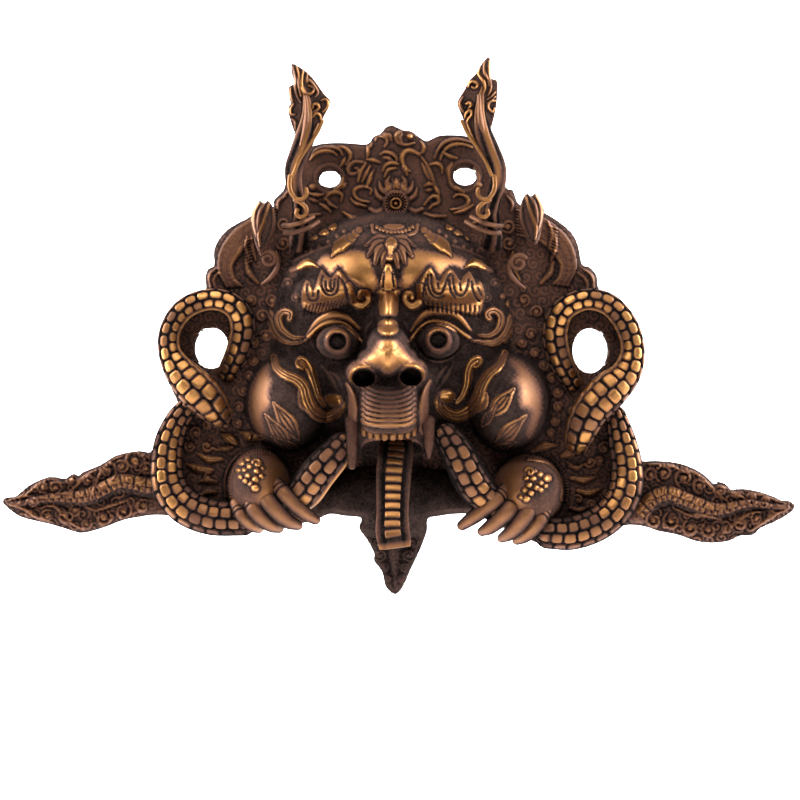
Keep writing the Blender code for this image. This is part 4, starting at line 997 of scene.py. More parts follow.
def sheetPiece(name, box, step, material):
    left, top, right, bottom = box
    pad = 16 * step  # more than is kept, so that neighbours are polished alike where they meet
    sheet = Sheet(left - pad, top - pad, right + pad, bottom + pad, step)
    relief(sheet)
    rub = polish(sheet)
    inBox = (abs(sheet.u - 0.5 * (left + right)) <= 0.5 * (right - left) + 0.1 * step) & (
        abs(sheet.v - 0.5 * (top + bottom)) <= 0.5 * (bottom - top) + 0.1 * step)
    inside = sheet.inside & inBox
    onEdge = (sheet.edge < 0.6 * step) & inBox
    u = np.where(onEdge, sheet.onEdge[..., 0], sheet.u)
    v = np.where(onEdge, sheet.onEdge[..., 1], sheet.v)
    for hole in [*casting["nailHoles"], *casting["loopHoles"]]:
        line = ovalLine(*hole)
        here = sheet.window(line, 2)
        if not sheet.u[here].size:
            continue
        away, _, place = nearest(sheet.u[here], sheet.v[here], line)
        rimmed = (away < 0.6 * step) & inBox[here]
        inside[here] &= ~insideLine(sheet.u[here], sheet.v[here], line) | rimmed
        u[here] = np.where(rimmed, place[..., 0], u[here])
        v[here] = np.where(rimmed, place[..., 1], v[here])
        onEdge[here] |= rimmed
        sheet.depth[here] -= 2.5 * np.clip(1 - away / 3, 0, 1) ** 2
    kept = (inside | onEdge).ravel()
    rows, columns = sheet.u.shape
    bm = bmesh.new()
    bmesh.ops.create_grid(bm, x_segments=columns - 1, y_segments=rows - 1, size=0.5)
    polished = bm.verts.layers.float.new("rub")
    walled = bm.verts.layers.int.new("walled")
    places = placed(u, v, sheet.depth).reshape(-1, 3).tolist()
    for vert, place, shine, wall in zip(bm.verts, places, rub.ravel().tolist(), onEdge.ravel().tolist()):
        vert.co = place
        vert[polished] = shine
        vert[walled] = wall
    bmesh.ops.delete(bm, geom=[vert for vert, kept in zip(bm.verts, kept) if not kept], context="VERTS")
    sides = [e for e in bm.edges if e.is_boundary and e.verts[0][walled] and e.verts[1][walled]]
    for item in bmesh.ops.extrude_edge_only(bm, edges=sides)["geom"]:
        if isinstance(item, bmesh.types.BMVert):
            item.co.y = 0
            item[polished] = 0
    bmesh.ops.recalc_face_normals(bm, faces=bm.faces[:])
    if sum(f.normal.y * f.calc_area() for f in bm.faces) > 0:
        bmesh.ops.reverse_faces(bm, faces=bm.faces[:])
    return finish(name, bm, material)


# A round bar along a path, with rows of points for the skin to lift; into joins it to a piece begun before.
def rodPiece(name, path, around, ringLength, skin, material, flat=1.0, into=None, roundEnds=(True, True)):
    line = smoothLine(path, 8)
    lengths = np.linalg.norm(np.diff(line[:, :3], axis=0), axis=1)
    total = lengths.sum()
    at = np.concatenate([[0], np.cumsum(lengths)])
    rings = max(4, int(total / ringLength))
    s = np.linspace(0, total, rings)
    spine = np.stack([np.interp(s, at, line[:, k]) for k in range(4)], -1)
    centre, radius = spine[:, :3], spine[:, 3]
    along = np.gradient(centre, axis=0)
    along /= np.linalg.norm(along, axis=1)[:, None]
    caps = 5
    grow = np.sin(np.linspace(0.0, math.pi / 2, caps, endpoint=False))
    reach = np.cos(np.linspace(0.0, math.pi / 2, caps, endpoint=False))
    pre = centre[0] - along[0] * (radius[0] * reach)[:, None] * (0.9 if roundEnds[0] else 0.02)
    post = centre[-1] + along[-1] * (radius[-1] * reach[::-1])[:, None] * (0.9 if roundEnds[1] else 0.02)
    centre = np.vstack([pre, centre, post])
    along = np.vstack([np.repeat(along[:1], caps, 0), along, np.repeat(along[-1:], caps, 0)])
    swell = np.concatenate([radius[0] * grow, radius, radius[-1] * grow[::-1]])
    s = np.concatenate([-radius[0] * reach, s, total + radius[-1] * reach[::-1]])
    front = np.array([0.0, 0.0, 1.0])
    side = np.cross(along, front)
    side /= np.maximum(np.linalg.norm(side, axis=1)[:, None], 1e-9)
    normal = np.cross(side, along)
    theta = np.linspace(-math.pi, math.pi, around + 1)
    lift, shine = skin(s[:, None], theta[None, :], swell[:, None], total)
    lift = lift * np.clip(swell / max(radius.max(), 1e-6) * 2, 0, 1)[:, None]
    r = swell[:, None] + lift
    spot = (centre[:, None] + normal[:, None] * (flat * r * np.cos(theta))[..., None]
            + side[:, None] * (r * np.sin(theta))[..., None])
    shine = np.broadcast_to(shine, r.shape)
    bm = bmesh.new()
    bmesh.ops.create_grid(bm, x_segments=around, y_segments=len(s) - 1, size=0.5)
    polished = bm.verts.layers.float.new("rub")
    places = placed(spot[..., 0], spot[..., 1], spot[..., 2]).reshape(-1, 3).tolist()
    for vert, place, polishHere in zip(bm.verts, places, shine.ravel().tolist()):
        vert.co = place
        vert[polished] = polishHere
    bmesh.ops.remove_doubles(bm, verts=bm.verts[:], dist=2e-6)
    if into is None:
        return finishJoined(name, bm, material)
    apart = bpy.data.meshes.new(name)
    bm.to_mesh(apart)
    bm.free()
    into.from_mesh(apart)
    bpy.data.meshes.remove(apart)
    return into


def facingShare(theta):  # polish comes to what faces outwards
    return np.clip(0.15 + 1.05 * np.cos(theta), 0, 1)


# Rows of squarish scales, each row half a scale on, and on one side a lip where one is asked for.
def scaleSkin(count, length, height, gold, narrow, fade, lip=0):
    def skin(s, theta, radius, total):
        around = (theta / math.tau + 0.5) * count + 0.5
        row = np.floor(around)
        across = np.abs(2 * (around - row) - 1)
        step = s / length + 0.5 * (row % 2) + 0.12 * np.sin(3 * row)
        tile = np.floor(step)
        own = uneven(row, tile)
        down = np.abs(2 * (step - tile) - 1 + 0.1 * (own - 0.5))
        sideways = (1 - across) * 0.5 * math.tau * radius / count  # distances to the edges of the scale
        lengthways = (1 - down) * 0.5 * length
        corner = np.hypot(np.clip(4 - sideways, 0, None), np.clip(4 - lengthways, 0, None))
        pad = np.clip((3.2 - corner) / 1.2 + 0.3, 0, 1) ** 0.8
        tilt = (own - 0.5) * (step - tile - 0.5) + 0.5 * (step - tile - 0.5)
        lift = height * (pad - 0.6) + 0.5 * height * tilt * pad
        outwards = np.cos(np.clip(narrow * theta, -3.1, 3.1))
        lift = lift * np.clip(1.7 * outwards, 0, 1)
        worn = np.clip(1.3 * outwards - 0.06, 0, 1) * np.interp(s / total, (0, 0.55, 1), (1, 1, fade))
        shine = (0.01 + gold * (0.55 + 0.4 * own + 0.22 * np.sin(s / 19 + row)) * pad**3) * worn
        if lip:
            edge = np.exp(-(((theta - lip * 1.18) / 0.16) ** 2))
            beyond = np.clip((lip * theta - 1.0) / 0.12, 0, 1)
            lift = lift * (1 - beyond) + 1.6 * edge - 0.8 * beyond * (1 - edge)
            shine = shine * (1 - beyond) + 0.72 * edge
        return lift, np.clip(shine, 0, 1)
    return skin


def plainSkin(gold):
    def skin(s, theta, radius, total):
        return 0 * s * theta, gold * facingShare(theta) + 0 * s
    return skin


def emptyPiece():  # a bmesh with the polish layer, for pieces of several rods
    bm = bmesh.new()
    bm.verts.layers.float.new("rub")
    return bm


def finishJoined(name, bm, material):
    bmesh.ops.recalc_face_normals(bm, faces=bm.faces[:])
    return finish(name, bm, material)


# A sheet of metal between two depths of the drawing, polished in front as given and behind alike.
def slabPiece(name, u, v, front, back, kept, rub, backRub, material):
    rows, columns = u.shape
    bm = bmesh.new()
    bmesh.ops.create_grid(bm, x_segments=columns - 1, y_segments=rows - 1, size=0.5)
    polished = bm.verts.layers.float.new("rub")
    behind = bm.verts.layers.float.new("behind")
    places = placed(u, v, front).reshape(-1, 3).tolist()
    depths = placed(u, v, back)[..., 1].ravel().tolist()
    for vert, place, shine, backY in zip(bm.verts, places, rub.ravel().tolist(), depths):
        vert.co = place
        vert[polished] = shine
        vert[behind] = backY
    outside = [vert for vert, keep in zip(bm.verts, kept.ravel()) if not keep]
    bmesh.ops.delete(bm, geom=outside, context="VERTS")
    made = bmesh.ops.extrude_face_region(bm, geom=bm.faces[:], use_keep_orig=True)
    for item in made["geom"]:
        if isinstance(item, bmesh.types.BMVert):
            item.co.y = item[behind]
            item[polished] = backRub
    return finishJoined(name, bm, material)


# Snakes: a rod with rows of scales, and a golden lip along the inside of its loop.

snakeSettings = {
    "ring": 0.95,
    "around": 96,
    "height": 2.4,
    "rows": {"Loop": 7, "Coil": 9, "Mouth": 9},
    "lengths": {"Loop": 12.0, "Coil": 13.0, "Mouth": 12.0},
    "gold": {"Loop": 0.95, "Coil": 0.82, "Mouth": 0.56},
    "narrow": {"Loop": 1.05, "Coil": 1.15, "Mouth": 1.5},  # how far round the scales are plain to see
    "fade": {"Loop": 1.0, "Coil": 0.5, "Mouth": 0.8},  # what is left of the polish at the hands
    "lips": {"leftLoop": 1, "rightLoop": -1, "leftMouth": 1},
}


def snakePieces(material):
    look = snakeSettings
    for name, path in snakes.items():
        kind = name.removeprefix("left").removeprefix("right")
        skin = scaleSkin(look["rows"][kind], look["lengths"][kind], look["height"], look["gold"][kind],
                         look["narrow"][kind], look["fade"][kind], look["lips"].get(name, 0))
        rodPiece(name, path, look["around"], look["ring"], skin, material)


# Hands: the four fingers of each fist, ringed at the knuckles and ending in claws.

fingerSettings = {"ring": 0.8, "around": 40, "gold": 0.3, "knuckles": (0.24,)}
leftFingers = [
    [(273, 482, 78, 8), (283, 492.5, 92, 8.6), (294, 504, 92, 8.2), (305, 513.5, 86, 7.2),
     (315.5, 520, 76, 5)],
    [(260, 489, 76, 8), (268, 501.5, 91, 9.2), (278, 513, 90, 9), (288.5, 521.5, 82, 7.6),
     (298, 525.5, 72, 5)],
    [(247, 497, 74, 7), (254, 509.5, 87, 8.4), (262.5, 519.5, 84, 8), (271.5, 526, 77, 6.6),
     (279, 528.5, 68, 4.8)],
    [(236, 504, 68, 6.4), (241, 515, 79, 7), (248, 523, 75, 6.4), (254.5, 527.5, 68, 5.2),
     (259, 529.5, 60, 4)],
]
rightFingers = [
    [(508, 488, 74, 8), (497, 499, 88, 8.4), (485, 508.5, 88, 8), (473, 517.5, 85, 7.4),
     (462, 525.5, 78, 5.4)],
    [(518, 497, 74, 8), (509, 509.5, 88, 9), (499, 519.5, 85, 8.8), (489.5, 527.5, 79, 7.4),
     (482, 531.5, 71, 5)],
    [(534, 500, 72, 8), (527, 513, 86, 9), (518, 525, 82, 8.8), (509.5, 533.5, 75, 7.4), (502, 538, 67, 5)],
    [(547, 508, 66, 7), (540, 520, 78, 8), (531.5, 530.5, 74, 7.8), (524, 537, 67, 6.4),
     (517, 540.5, 60, 4.8)],
]


def fingerSkin(s, theta, radius, total):
    lift = 0 * s * theta
    # the gold falls towards the tips: painted shade where the fingertips turn under the fist
    gold = fingerSettings["gold"] * (1.3 - 0.7 * s / total) + 0 * lift
    for share in fingerSettings["knuckles"]:
        for offset in (-2.2, 2.2):
            ring = np.exp(-(((s - share * total - offset) / 0.8) ** 2))
            lift = lift - 1.0 * ring
            gold = gold - 0.5 * ring
    ridge = np.exp(-((theta / 0.5) ** 2)) * np.clip(s / total - 0.1, 0, 1)
    worn = np.clip(1.3 * np.cos(1.25 * theta) - 0.15, 0, 1)
    # the gold along the ridge also fades towards the tips as painted shade
    return lift + 0.8 * ridge, np.clip(gold + 0.42 * ridge * (1.2 - 0.7 * s / total), 0, 1) * worn


def handPieces(material):
    look = fingerSettings
    for name, fingers in (("leftFingers", leftFingers), ("rightFingers", rightFingers)):
        bm = emptyPiece()
        for path in fingers:
            rodPiece(name, path, look["around"], look["ring"], fingerSkin, material, into=bm)
        finishJoined(name, bm, material)


# Horns: a grooved stem that stands free of the crown, with a flat flame blade on top.

hornSettings = {"ring": 1.0, "around": 44, "bladeBack": 79.0, "bladeFront": 92.0, "bladeStep": 0.55}
leftHorn = [
    (299, 243, 30, 10), (299, 229, 52, 9), (300, 213, 64, 7.5), (298, 198, 71, 7), (294.5, 184, 76, 8),
    (294, 168, 80, 8.6), (299, 151, 84, 9), (304, 133, 86, 8.6), (307, 115, 88, 6.6), (306, 99, 89, 4.4),
    (303, 88, 90, 2),
]
rightHorn = [
    (492, 243, 30, 10), (492, 229, 52, 9), (491, 213, 64, 7.5), (494, 198, 71, 7), (498, 184, 76, 8),
    (497.5, 168, 80, 8.6), (490.5, 151, 84, 9), (483, 133, 86, 8.6), (479.5, 115, 88, 6.6),
    (480, 99, 89, 4.4), (482, 88, 90, 2),
]
leftCurls = [  # rods in front of the left horn's foot: points, radius and polish
    ([(290, 176, 86), (289.5, 186, 86), (292, 194, 85), (297, 199, 84), (303, 198.5, 84), (306.5, 194, 84),
      (306, 189, 85)], 2.3, 0.62),
    ([(295, 200, 82), (301, 203, 82), (306, 208, 81), (305.5, 214.5, 80), (300.5, 217, 80),
      (296.5, 214, 80), (297.5, 210, 80)], 2.3, 0.6),
    ([(283, 226, 60), (292, 225, 72), (303, 222, 73), (313, 217, 60)], 2.4, 0.36),
    ([(285, 233, 58), (296, 232, 70), (308, 228, 70), (318, 222, 58)], 2.6, 0.3),
    ([(322.5, 121, 92), (317, 133, 92), (307, 148, 91), (299, 161, 90), (293, 175, 88)], 1.9, 0.66),
]
leftBlade = [
    (291, 65), (293, 63.6), (297.6, 65.7), (305.2, 70.7), (312.1, 77.2), (319, 86.4), (325.1, 94.8),
    (329, 98.6), (330.3, 102.4), (328.2, 108.6), (324.4, 115.4), (319.8, 125.4), (316, 135.3),
    (312.9, 145.3), (310, 152), (304, 163), (294, 166), (291.5, 155), (294, 143.8), (295.4, 136),
    (292.6, 127.7), (290, 119.3), (288.3, 112.4), (288.6, 106.3), (290.9, 103.4), (289.6, 99.4),
    (288.4, 91.7), (288.8, 87.1), (291.5, 85), (294.2, 82.4), (291.5, 72.6),
]
rightBlade = [
    (486, 58.4), (488.2, 57), (490.2, 58.8), (491, 67.5), (491.6, 78), (495.8, 79.5), (497.6, 83.5),
    (497.6, 91.4), (496.6, 104.2), (494.6, 115.3), (492.2, 124.9), (489.6, 133.3), (494, 144), (498, 155),
    (497, 166), (488, 166), (481, 157), (474.7, 146.4), (468.7, 135.3), (465.9, 125.7), (462.7, 117.7),
    (459.6, 110.6), (457.2, 103.4), (458.8, 98.6), (464.3, 89.8), (469.1, 80.3), (475.5, 73.9),
    (480.3, 65.5),
]
leftCarving = [  # points, width, height and polish
    ([(296.5, 66.5), (298.4, 74.9), (298.8, 85.6), (301, 96)], 1.9, 4.4, 0.62),
    ([(292.8, 67), (295.2, 77.2), (295, 86), (297, 96), (300.4, 102)], 1.5, 3.8, 0.34),
    ([(303.2, 70.5), (301.8, 80.2), (302.4, 88.5), (305.4, 93.6), (310.8, 93.6), (313.9, 90), (311.8, 86.8),
      (308.3, 85.6)], 2.0, 5, 0.66),
    ([(307.4, 74), (306.4, 82), (309, 80), (313, 84), (318, 92), (315.5, 97)], 1.7, 3.8, 0.4),
    ([(321.4, 100.6), (325.4, 99.2), (328, 103), (326.4, 108.4), (322.6, 112)], 1.8, 4.2, 0.55),
    ([(312.6, 108.4), (313.4, 104.6), (317, 104), (319, 107.4), (316, 110.6), (313, 112)], 1.9, 5, 0.7),
    ([(312.5, 117), (316, 113.4), (319.6, 115), (320.6, 119.6)], 1.9, 5, 0.66),
    ([(290.8, 88), (290.4, 94), (292.6, 102)], 1.7, 3.8, 0.4),
    ([(293.6, 104), (290.6, 109), (291.4, 114), (294.8, 114.6)], 1.6, 3.8, 0.5),
    ([(292, 119), (295, 122), (295.4, 129)], 1.5, 3.4, 0.3),
    ([(318, 124), (314, 133), (311, 143)], 1.4, 3.6, 0.45),
    ([(305.5, 97), (306.5, 106), (306.6, 118), (304.4, 130), (300.4, 145)], 4.4, 7.5, 0.36),
]
rightCarving = [
    ([(489.6, 60.5), (489.2, 68), (489.8, 79.5), (490.8, 88), (488.4, 95)], 1.7, 4.4, 0.5),
    ([(484.4, 62), (484.2, 71.5), (488, 79), (489, 86)], 1.6, 4, 0.4),
    ([(479.6, 67.5), (478.4, 74), (483.8, 82), (485, 88.2), (483, 93.4)], 1.9, 4.8, 0.6),
    ([(468.3, 87), (469.6, 82.4), (474.4, 81.6), (478, 85), (475, 88.4), (472, 87)], 1.8, 4.6, 0.6),
    ([(463, 97), (459.8, 103), (462, 110), (466, 114)], 1.6, 3.8, 0.4),
    ([(466, 104), (469.6, 102.6), (471, 105.6), (468.6, 108.4)], 2.2, 5, 0.66),
    ([(465, 118), (466.4, 112.6), (470.4, 110.6), (471.8, 114.4), (468.6, 118.4),
      (467, 123)], 2.0, 5, 0.66),
    ([(487, 99.4), (491, 97), (495.4, 92)], 1.3, 3.6, 0.5),
    ([(486.6, 103.6), (491, 101), (495.4, 96.4)], 1.3, 3.6, 0.5),
    ([(495.8, 100.6), (489.6, 102), (488, 107.6), (492.4, 111.8), (494.4, 108)], 1.6, 4, 0.5),
    ([(467.4, 124), (473.6, 139), (482, 153)], 1.5, 4, 0.6),
    ([(479, 96), (479.4, 106), (480.6, 119), (484.6, 132), (490.4, 146)], 4.6, 7.5, 0.34),
]


def hornSkin(s, theta, radius, total):
    flute = 0.7 * np.cos(5 * theta + s / 16)
    rings = 0.5 * np.cos(s / 2.2) * np.clip(1 - s / (0.4 * total), 0, 1)
    gold = 0.08 + 0.34 * flute + 0.14 * np.clip(s / total - 0.4, 0, 1)
    # the crest is a smooth band up the right side of each stem; its extra gold is a painted highlight
    crest = np.exp(-(((theta + 0.25) / 0.5) ** 2)) * np.clip((s - 0.35 * total) / 20, 0, 1)
    return flute * (1 - crest) + rings, np.clip(gold + 0.32 * crest, 0, 1) * facingShare(theta)


def bladePiece(name, outline, ridge, carving, material, look):  # a carved leaf of metal with a ridge
    backMost, frontMost, step = look["bladeBack"], look["bladeFront"], look["bladeStep"]
    line = smoothLine([*outline, outline[0]], 5)
    spine = smoothLine(ridge, 5)
    low, high = line.min(0) - 2, line.max(0) + 2
    sheet = Sheet(low[0], low[1], high[0], high[1], step)
    away, _, onLine = nearest(sheet.u, sheet.v, line)
    inside = insideLine(sheet.u, sheet.v, line)
    fromSpine, _, _ = nearest(sheet.u, sheet.v, spine)
    edge = away < 0.6 * step
    across = np.clip(away / (away + fromSpine + 1e-6), 0, 1)  # 0 at the rim and 1 on the ridge
    for points, width, height, gold in carving:
        stroke(sheet, points, width, height, (0.5, 1, 0.5), gold=gold, shade=0.7)
    rounded = np.clip(away / 2.5, 0, 1)
    rise = frontMost - backMost - 5
    depth = backMost + 5 + rise * across**0.8 + (sheet.raised - sheet.cut - 1.2) * rounded
    u = np.where(edge, onLine[..., 0], sheet.u)
    v = np.where(edge, onLine[..., 1], sheet.v)
    rub = np.maximum(sheet.paint, 0.09 + 0.12 * across) * (1 - sheet.dark) + 0.1 * (away < 2)
    rub = np.clip(rub, 0, 1)
    return slabPiece(name, u, v, depth, backMost + 3 - 3 * across, inside | edge, rub, 0.15, material)


def hornPieces(material):
    look = hornSettings
    rodPiece("leftHorn", leftHorn, look["around"], look["ring"], hornSkin, material)
    rodPiece("rightHorn", rightHorn, look["around"], look["ring"], hornSkin, material)
    leftRidge = [(292, 66), (299, 84), (306, 98), (307, 119), (302, 140), (298, 158)]
    rightRidge = [(489, 62), (484, 84), (480, 100), (479, 120), (483, 140), (491, 158)]
    bm = emptyPiece()
    for points, radius, gold in leftCurls:
        for line in (points, mirrored(points, 392.2)):
            path = [(u, v, depth, radius) for u, v, depth in line]
            rodPiece("hornCurls", path, 16, 0.9, plainSkin(gold), material, into=bm)
    for u in (300.5, 486):  # a bead in the middle of each pair
        path = [(u, 189.5, 82, 4.2), (u, 189.5, 86, 4.4)]
        rodPiece("hornCurls", path, 24, 0.8, plainSkin(0.7), material, into=bm)
    finishJoined("hornCurls", bm, material)
    bladePiece("leftBlade", leftBlade, leftRidge, leftCarving, material, look)
    bladePiece("rightBlade", rightBlade, rightRidge, rightCarving, material, look)


# Mouth: the long tongue with its ladder of pads, the fangs and the teeth.

tongueSettings = {
    "path": [(396, 441, 70, 15), (396, 452, 88, 17), (394, 470, 108, 17.5), (393, 490, 120, 16.5),
             (392.5, 512, 130, 15.5), (392.5, 530, 137, 16.5), (394, 540, 139, 16.5), (395, 548, 139, 15)],
    "around": 84,
    "ring": 0.7,
    "flat": 0.4,  # its thickness as a share of its width
    "padLength": 9.6,
}
fangSettings = {
    "left": [(352, 422, 96, 7.5), (352, 434, 104, 6.2), (352, 449, 107, 5.6), (352, 466, 107, 4)],
    "right": [(428, 422, 96, 7.5), (429, 434, 104, 5.8), (429, 445, 107, 5), (429, 457, 105, 1.6)],
    "teeth": [(364, 430, 3.2), (370.5, 432, 3.4), (377.5, 433.5, 3.6), (385, 434.2, 3.8), (393, 434.2, 3.8),
              (400.5, 433.5, 3.6), (407.5, 432, 3.4), (414, 430, 3.2)],
    "toothDepth": 112,
}


def tongueSkin(s, theta, radius, total):
    rim = np.exp(-(((np.abs(theta) - 1.05) / 0.17) ** 2))
    groove = np.exp(-(((np.abs(theta) - 0.66) / 0.16) ** 2))
    middle = np.clip(1.4 - 1.4 * (np.abs(theta) / 0.52) ** 4, 0, 1)
    inside = np.clip((s - 0.06 * total) / 4, 0, 1) * np.clip((0.94 * total - s) / 3, 0, 1)
    beat = (s / tongueSettings["padLength"]) % 1
    pad = np.clip(1.2 - 1.5 * np.abs(2 * beat - 1) ** 2.2, 0, 1)
    lift = 2.6 * rim - 1.2 * groove + inside * middle * (3.8 * pad - 1.4)
    tip = np.clip((s - 0.95 * total) / 4, 0, 1)
    bright = np.clip(1.45 - 2.2 * np.abs(s / total - 0.55), 0.2, 1)  # the pads fade to both ends
    gold = 0.2 * rim + middle * inside * bright * (0.74 * pad**2 - 0.05) + 0.4 * tip
    gold = gold + 0.12 * rim * np.clip(s / total - 0.3, 0, 1)
    return lift * (np.cos(theta) > 0), np.clip(0.06 + gold - 0.1 * groove, 0, 1) * facingShare(theta)


def mouthPieces(material):
    look = tongueSettings
    rodPiece("tongue", look["path"], look["around"], look["ring"], tongueSkin, material, flat=look["flat"],
             roundEnds=(True, False))
    bm = emptyPiece()
    for side in ("left", "right"):
        rodPiece("fangs", fangSettings[side], 28, 0.8, plainSkin(0.2), material, into=bm)
    for u, v, radius in fangSettings["teeth"]:
        depth = fangSettings["toothDepth"] - 0.012 * (u - 389) ** 2
        path = [(u, v - 4, depth - 3, radius), (u, v, depth, radius), (u, v + 4, depth, 0.85 * radius)]
        rodPiece("fangs", path, 20, 0.8, plainSkin(0.5), material, into=bm)
    finishJoined("fangs", bm, material)


# Ears: pointed lobes that stand before the hair.

earSettings = {"bladeBack": 52.0, "bladeFront": 66.0, "bladeStep": 0.75}
leftEar = [
    (257, 203), (260, 200.5), (264, 203), (268, 200.5), (273, 207), (275.5, 218), (275.5, 230), (271, 241),
    (265, 250), (259, 252), (255, 244), (253, 234), (251, 224), (251.5, 214),
]
earCarving = [
    ([(259, 203), (254.5, 212), (254, 224), (257, 238)], 2.2, 4, 0.4),
    ([(264, 204), (259, 214), (258, 226), (260, 240)], 2.0, 4, 0.3),
    ([(269, 204), (266, 214), (262, 226), (259, 236), (260, 246)], 2.4, 4.6, 0.46),
    ([(273, 209), (274, 220), (272, 232), (266, 244)], 1.6, 3.4, 0.2),
]


def earPieces(material):
    look = earSettings
    rightEar = [(u, v - 7) for u, v in mirrored(leftEar, 397.5)]
    rightCarving = [([(u, v - 7) for u, v in mirrored(line, 397.5)], *rest) for line, *rest in earCarving]
    bladePiece("leftEar", leftEar, [(262, 203), (258, 226), (260, 248)], earCarving, material, look)
    bladePiece("rightEar", rightEar, [(533, 196), (537, 219), (535, 241)], rightCarving, material, look)
    bm = emptyPiece()
    for (u, v), depth, radius in (((259.5, 250.5), 58, 5.4), ((529.5, 249.5), 58, 5.8)):
        path = [(u, v, depth - 4, radius * 0.9), (u, v, depth + 2, radius)]
        rodPiece("ears", path, 28, 0.9, plainSkin(0.5), material, into=bm)
    for (u, v), start, turns in (((268.3, 259), 220, 1.35), ((518.4, 263), 320, -1.35)):
        spots = coil((u, v), 8.6, start, turns, 0.3, 20)
        loop = [(*spot, 52, 2.6 - 0.8 * k / 19) for k, spot in enumerate(spots)]
        rodPiece("ears", loop, 16, 1.0, plainSkin(0.3), material, into=bm)
        side = 1 if u < 397 else -1
        tail = [(u + 8.5 * side, v - 2, 51, 2.4), (u + 9 * side, v + 9, 49, 2.8),
                (u + 2 * side, v + 19, 44, 2.6), (u - 6 * side, v + 25, 38, 1.6)]
        rodPiece("ears", tail, 16, 1.0, plainSkin(0.3), material, into=bm)
    finishJoined("ears", bm, material)


# Back: the plain inside of the hollow casting, closed to the sheets in front of it.

backSettings = {
    "box": (-9, 115, 805, 606),
    "step": 3.0,
    "below": 2.2,  # how far its front stays behind the sheets
    "inset": 0.7,  # and within their rims
    "hollowTop": 213.0,
    "hollowRise": 2.5,
    "shallowest": 4.0,
    "frontPolish": 0.02,
    "backPolish": 0.06,
}


def lowestAround(depth, reach):  # the least depth within reach, in cells
    for axis in (0, 1):
        depth = np.min([np.roll(depth, k, axis) for k in range(-reach, reach + 1)], 0)
    return depth


def backPiece(material):
    look = backSettings
    step = look["step"]
    sheet = Sheet(*look["box"], step)
    relief(sheet, detail=False)
    outline = smoothLine([*outlinePoints, outlinePoints[0]], 3)
    middle = outline - look["inset"] * outwardNormals(outline)
    away, _, onLine = nearest(sheet.u, sheet.v, middle)
    inside = insideLine(sheet.u, sheet.v, middle)
    edge = away < 0.6 * step
    front = np.where(sheet.inside, sheet.depth, 0)
    wall = casting["wall"]
    reach = int(round(wall / step))
    smooth = blurred(lowestAround(front, reach + 1), 2, 3)
    hollow = np.minimum(smooth, lowestAround(front, reach - 1)) - wall
    hollow = np.minimum(hollow, look["hollowRise"] * (sheet.v - look["hollowTop"]))
    back = np.where(hollow > look["shallowest"], hollow, 0)
    u = np.where(edge, onLine[..., 0], sheet.u)
    v = np.where(edge, onLine[..., 1], sheet.v)
    for hole in [*casting["nailHoles"], *casting["loopHoles"]]:
        ring = ovalLine(hole[0], hole[1], hole[2] + look["inset"], hole[3] + look["inset"])
        here = sheet.window(ring, 4)
        around, _, place = nearest(sheet.u[here], sheet.v[here], ring)
        rimmed = around < 0.6 * step
        inside[here] &= ~insideLine(sheet.u[here], sheet.v[here], ring) | rimmed
        u[here] = np.where(rimmed, place[..., 0], u[here])
        v[here] = np.where(rimmed, place[..., 1], v[here])
    front = np.maximum(lowestAround(front, 1) - look["below"], 0.5 * casting["plate"])
    back = np.minimum(back, front - 2)
    rub = np.full(front.shape, look["frontPolish"])
    return slabPiece("castingBack", u, v, front, back, inside | edge, rub, look["backPolish"], material)


def outwardNormals(line):  # unit normals of a closed line, pointing away from its inside
    along = np.roll(line, -1, 0) - np.roll(line, 1, 0)
    side = np.stack([along[:, 1], -along[:, 0]], -1)
    side /= np.maximum(np.linalg.norm(side, axis=1)[:, None], 1e-9)
    area = (line[:, 0] * np.roll(line[:, 1], -1) - np.roll(line[:, 0], -1) * line[:, 1]).sum()
    return side if area > 0 else -side


# Antique bronze: dark patina in the hollows, bare gold where it has been rubbed.

bronzeSettings = {
    "ramp": [  # polish and colour
        (0.00, (0.0065, 0.0052, 0.0048)),
        (0.10, (0.041, 0.0255, 0.0220)),
        (0.26, (0.116, 0.051, 0.033)),
        (0.48, (0.23, 0.101, 0.041)),
        (0.70, (0.34, 0.156, 0.052)),
        (1.00, (0.52, 0.245, 0.076)),
    ],
    "mottleScale": 90.0,
    "fineScale": 650.0,
    "castScale": 1500.0,
    "grain": 0.4,
    "grainDepth": 0.0004,
    "roughness": (0.62, 0.29),
    "metal": (0.0, 0.95),
    "bare": (0.16, 0.55),  # polish at which the metal begins to show, and shows fully
    "shine": (0.0, 0.3),
    "shineTint": (1.0, 0.88, 0.82, 1),
}


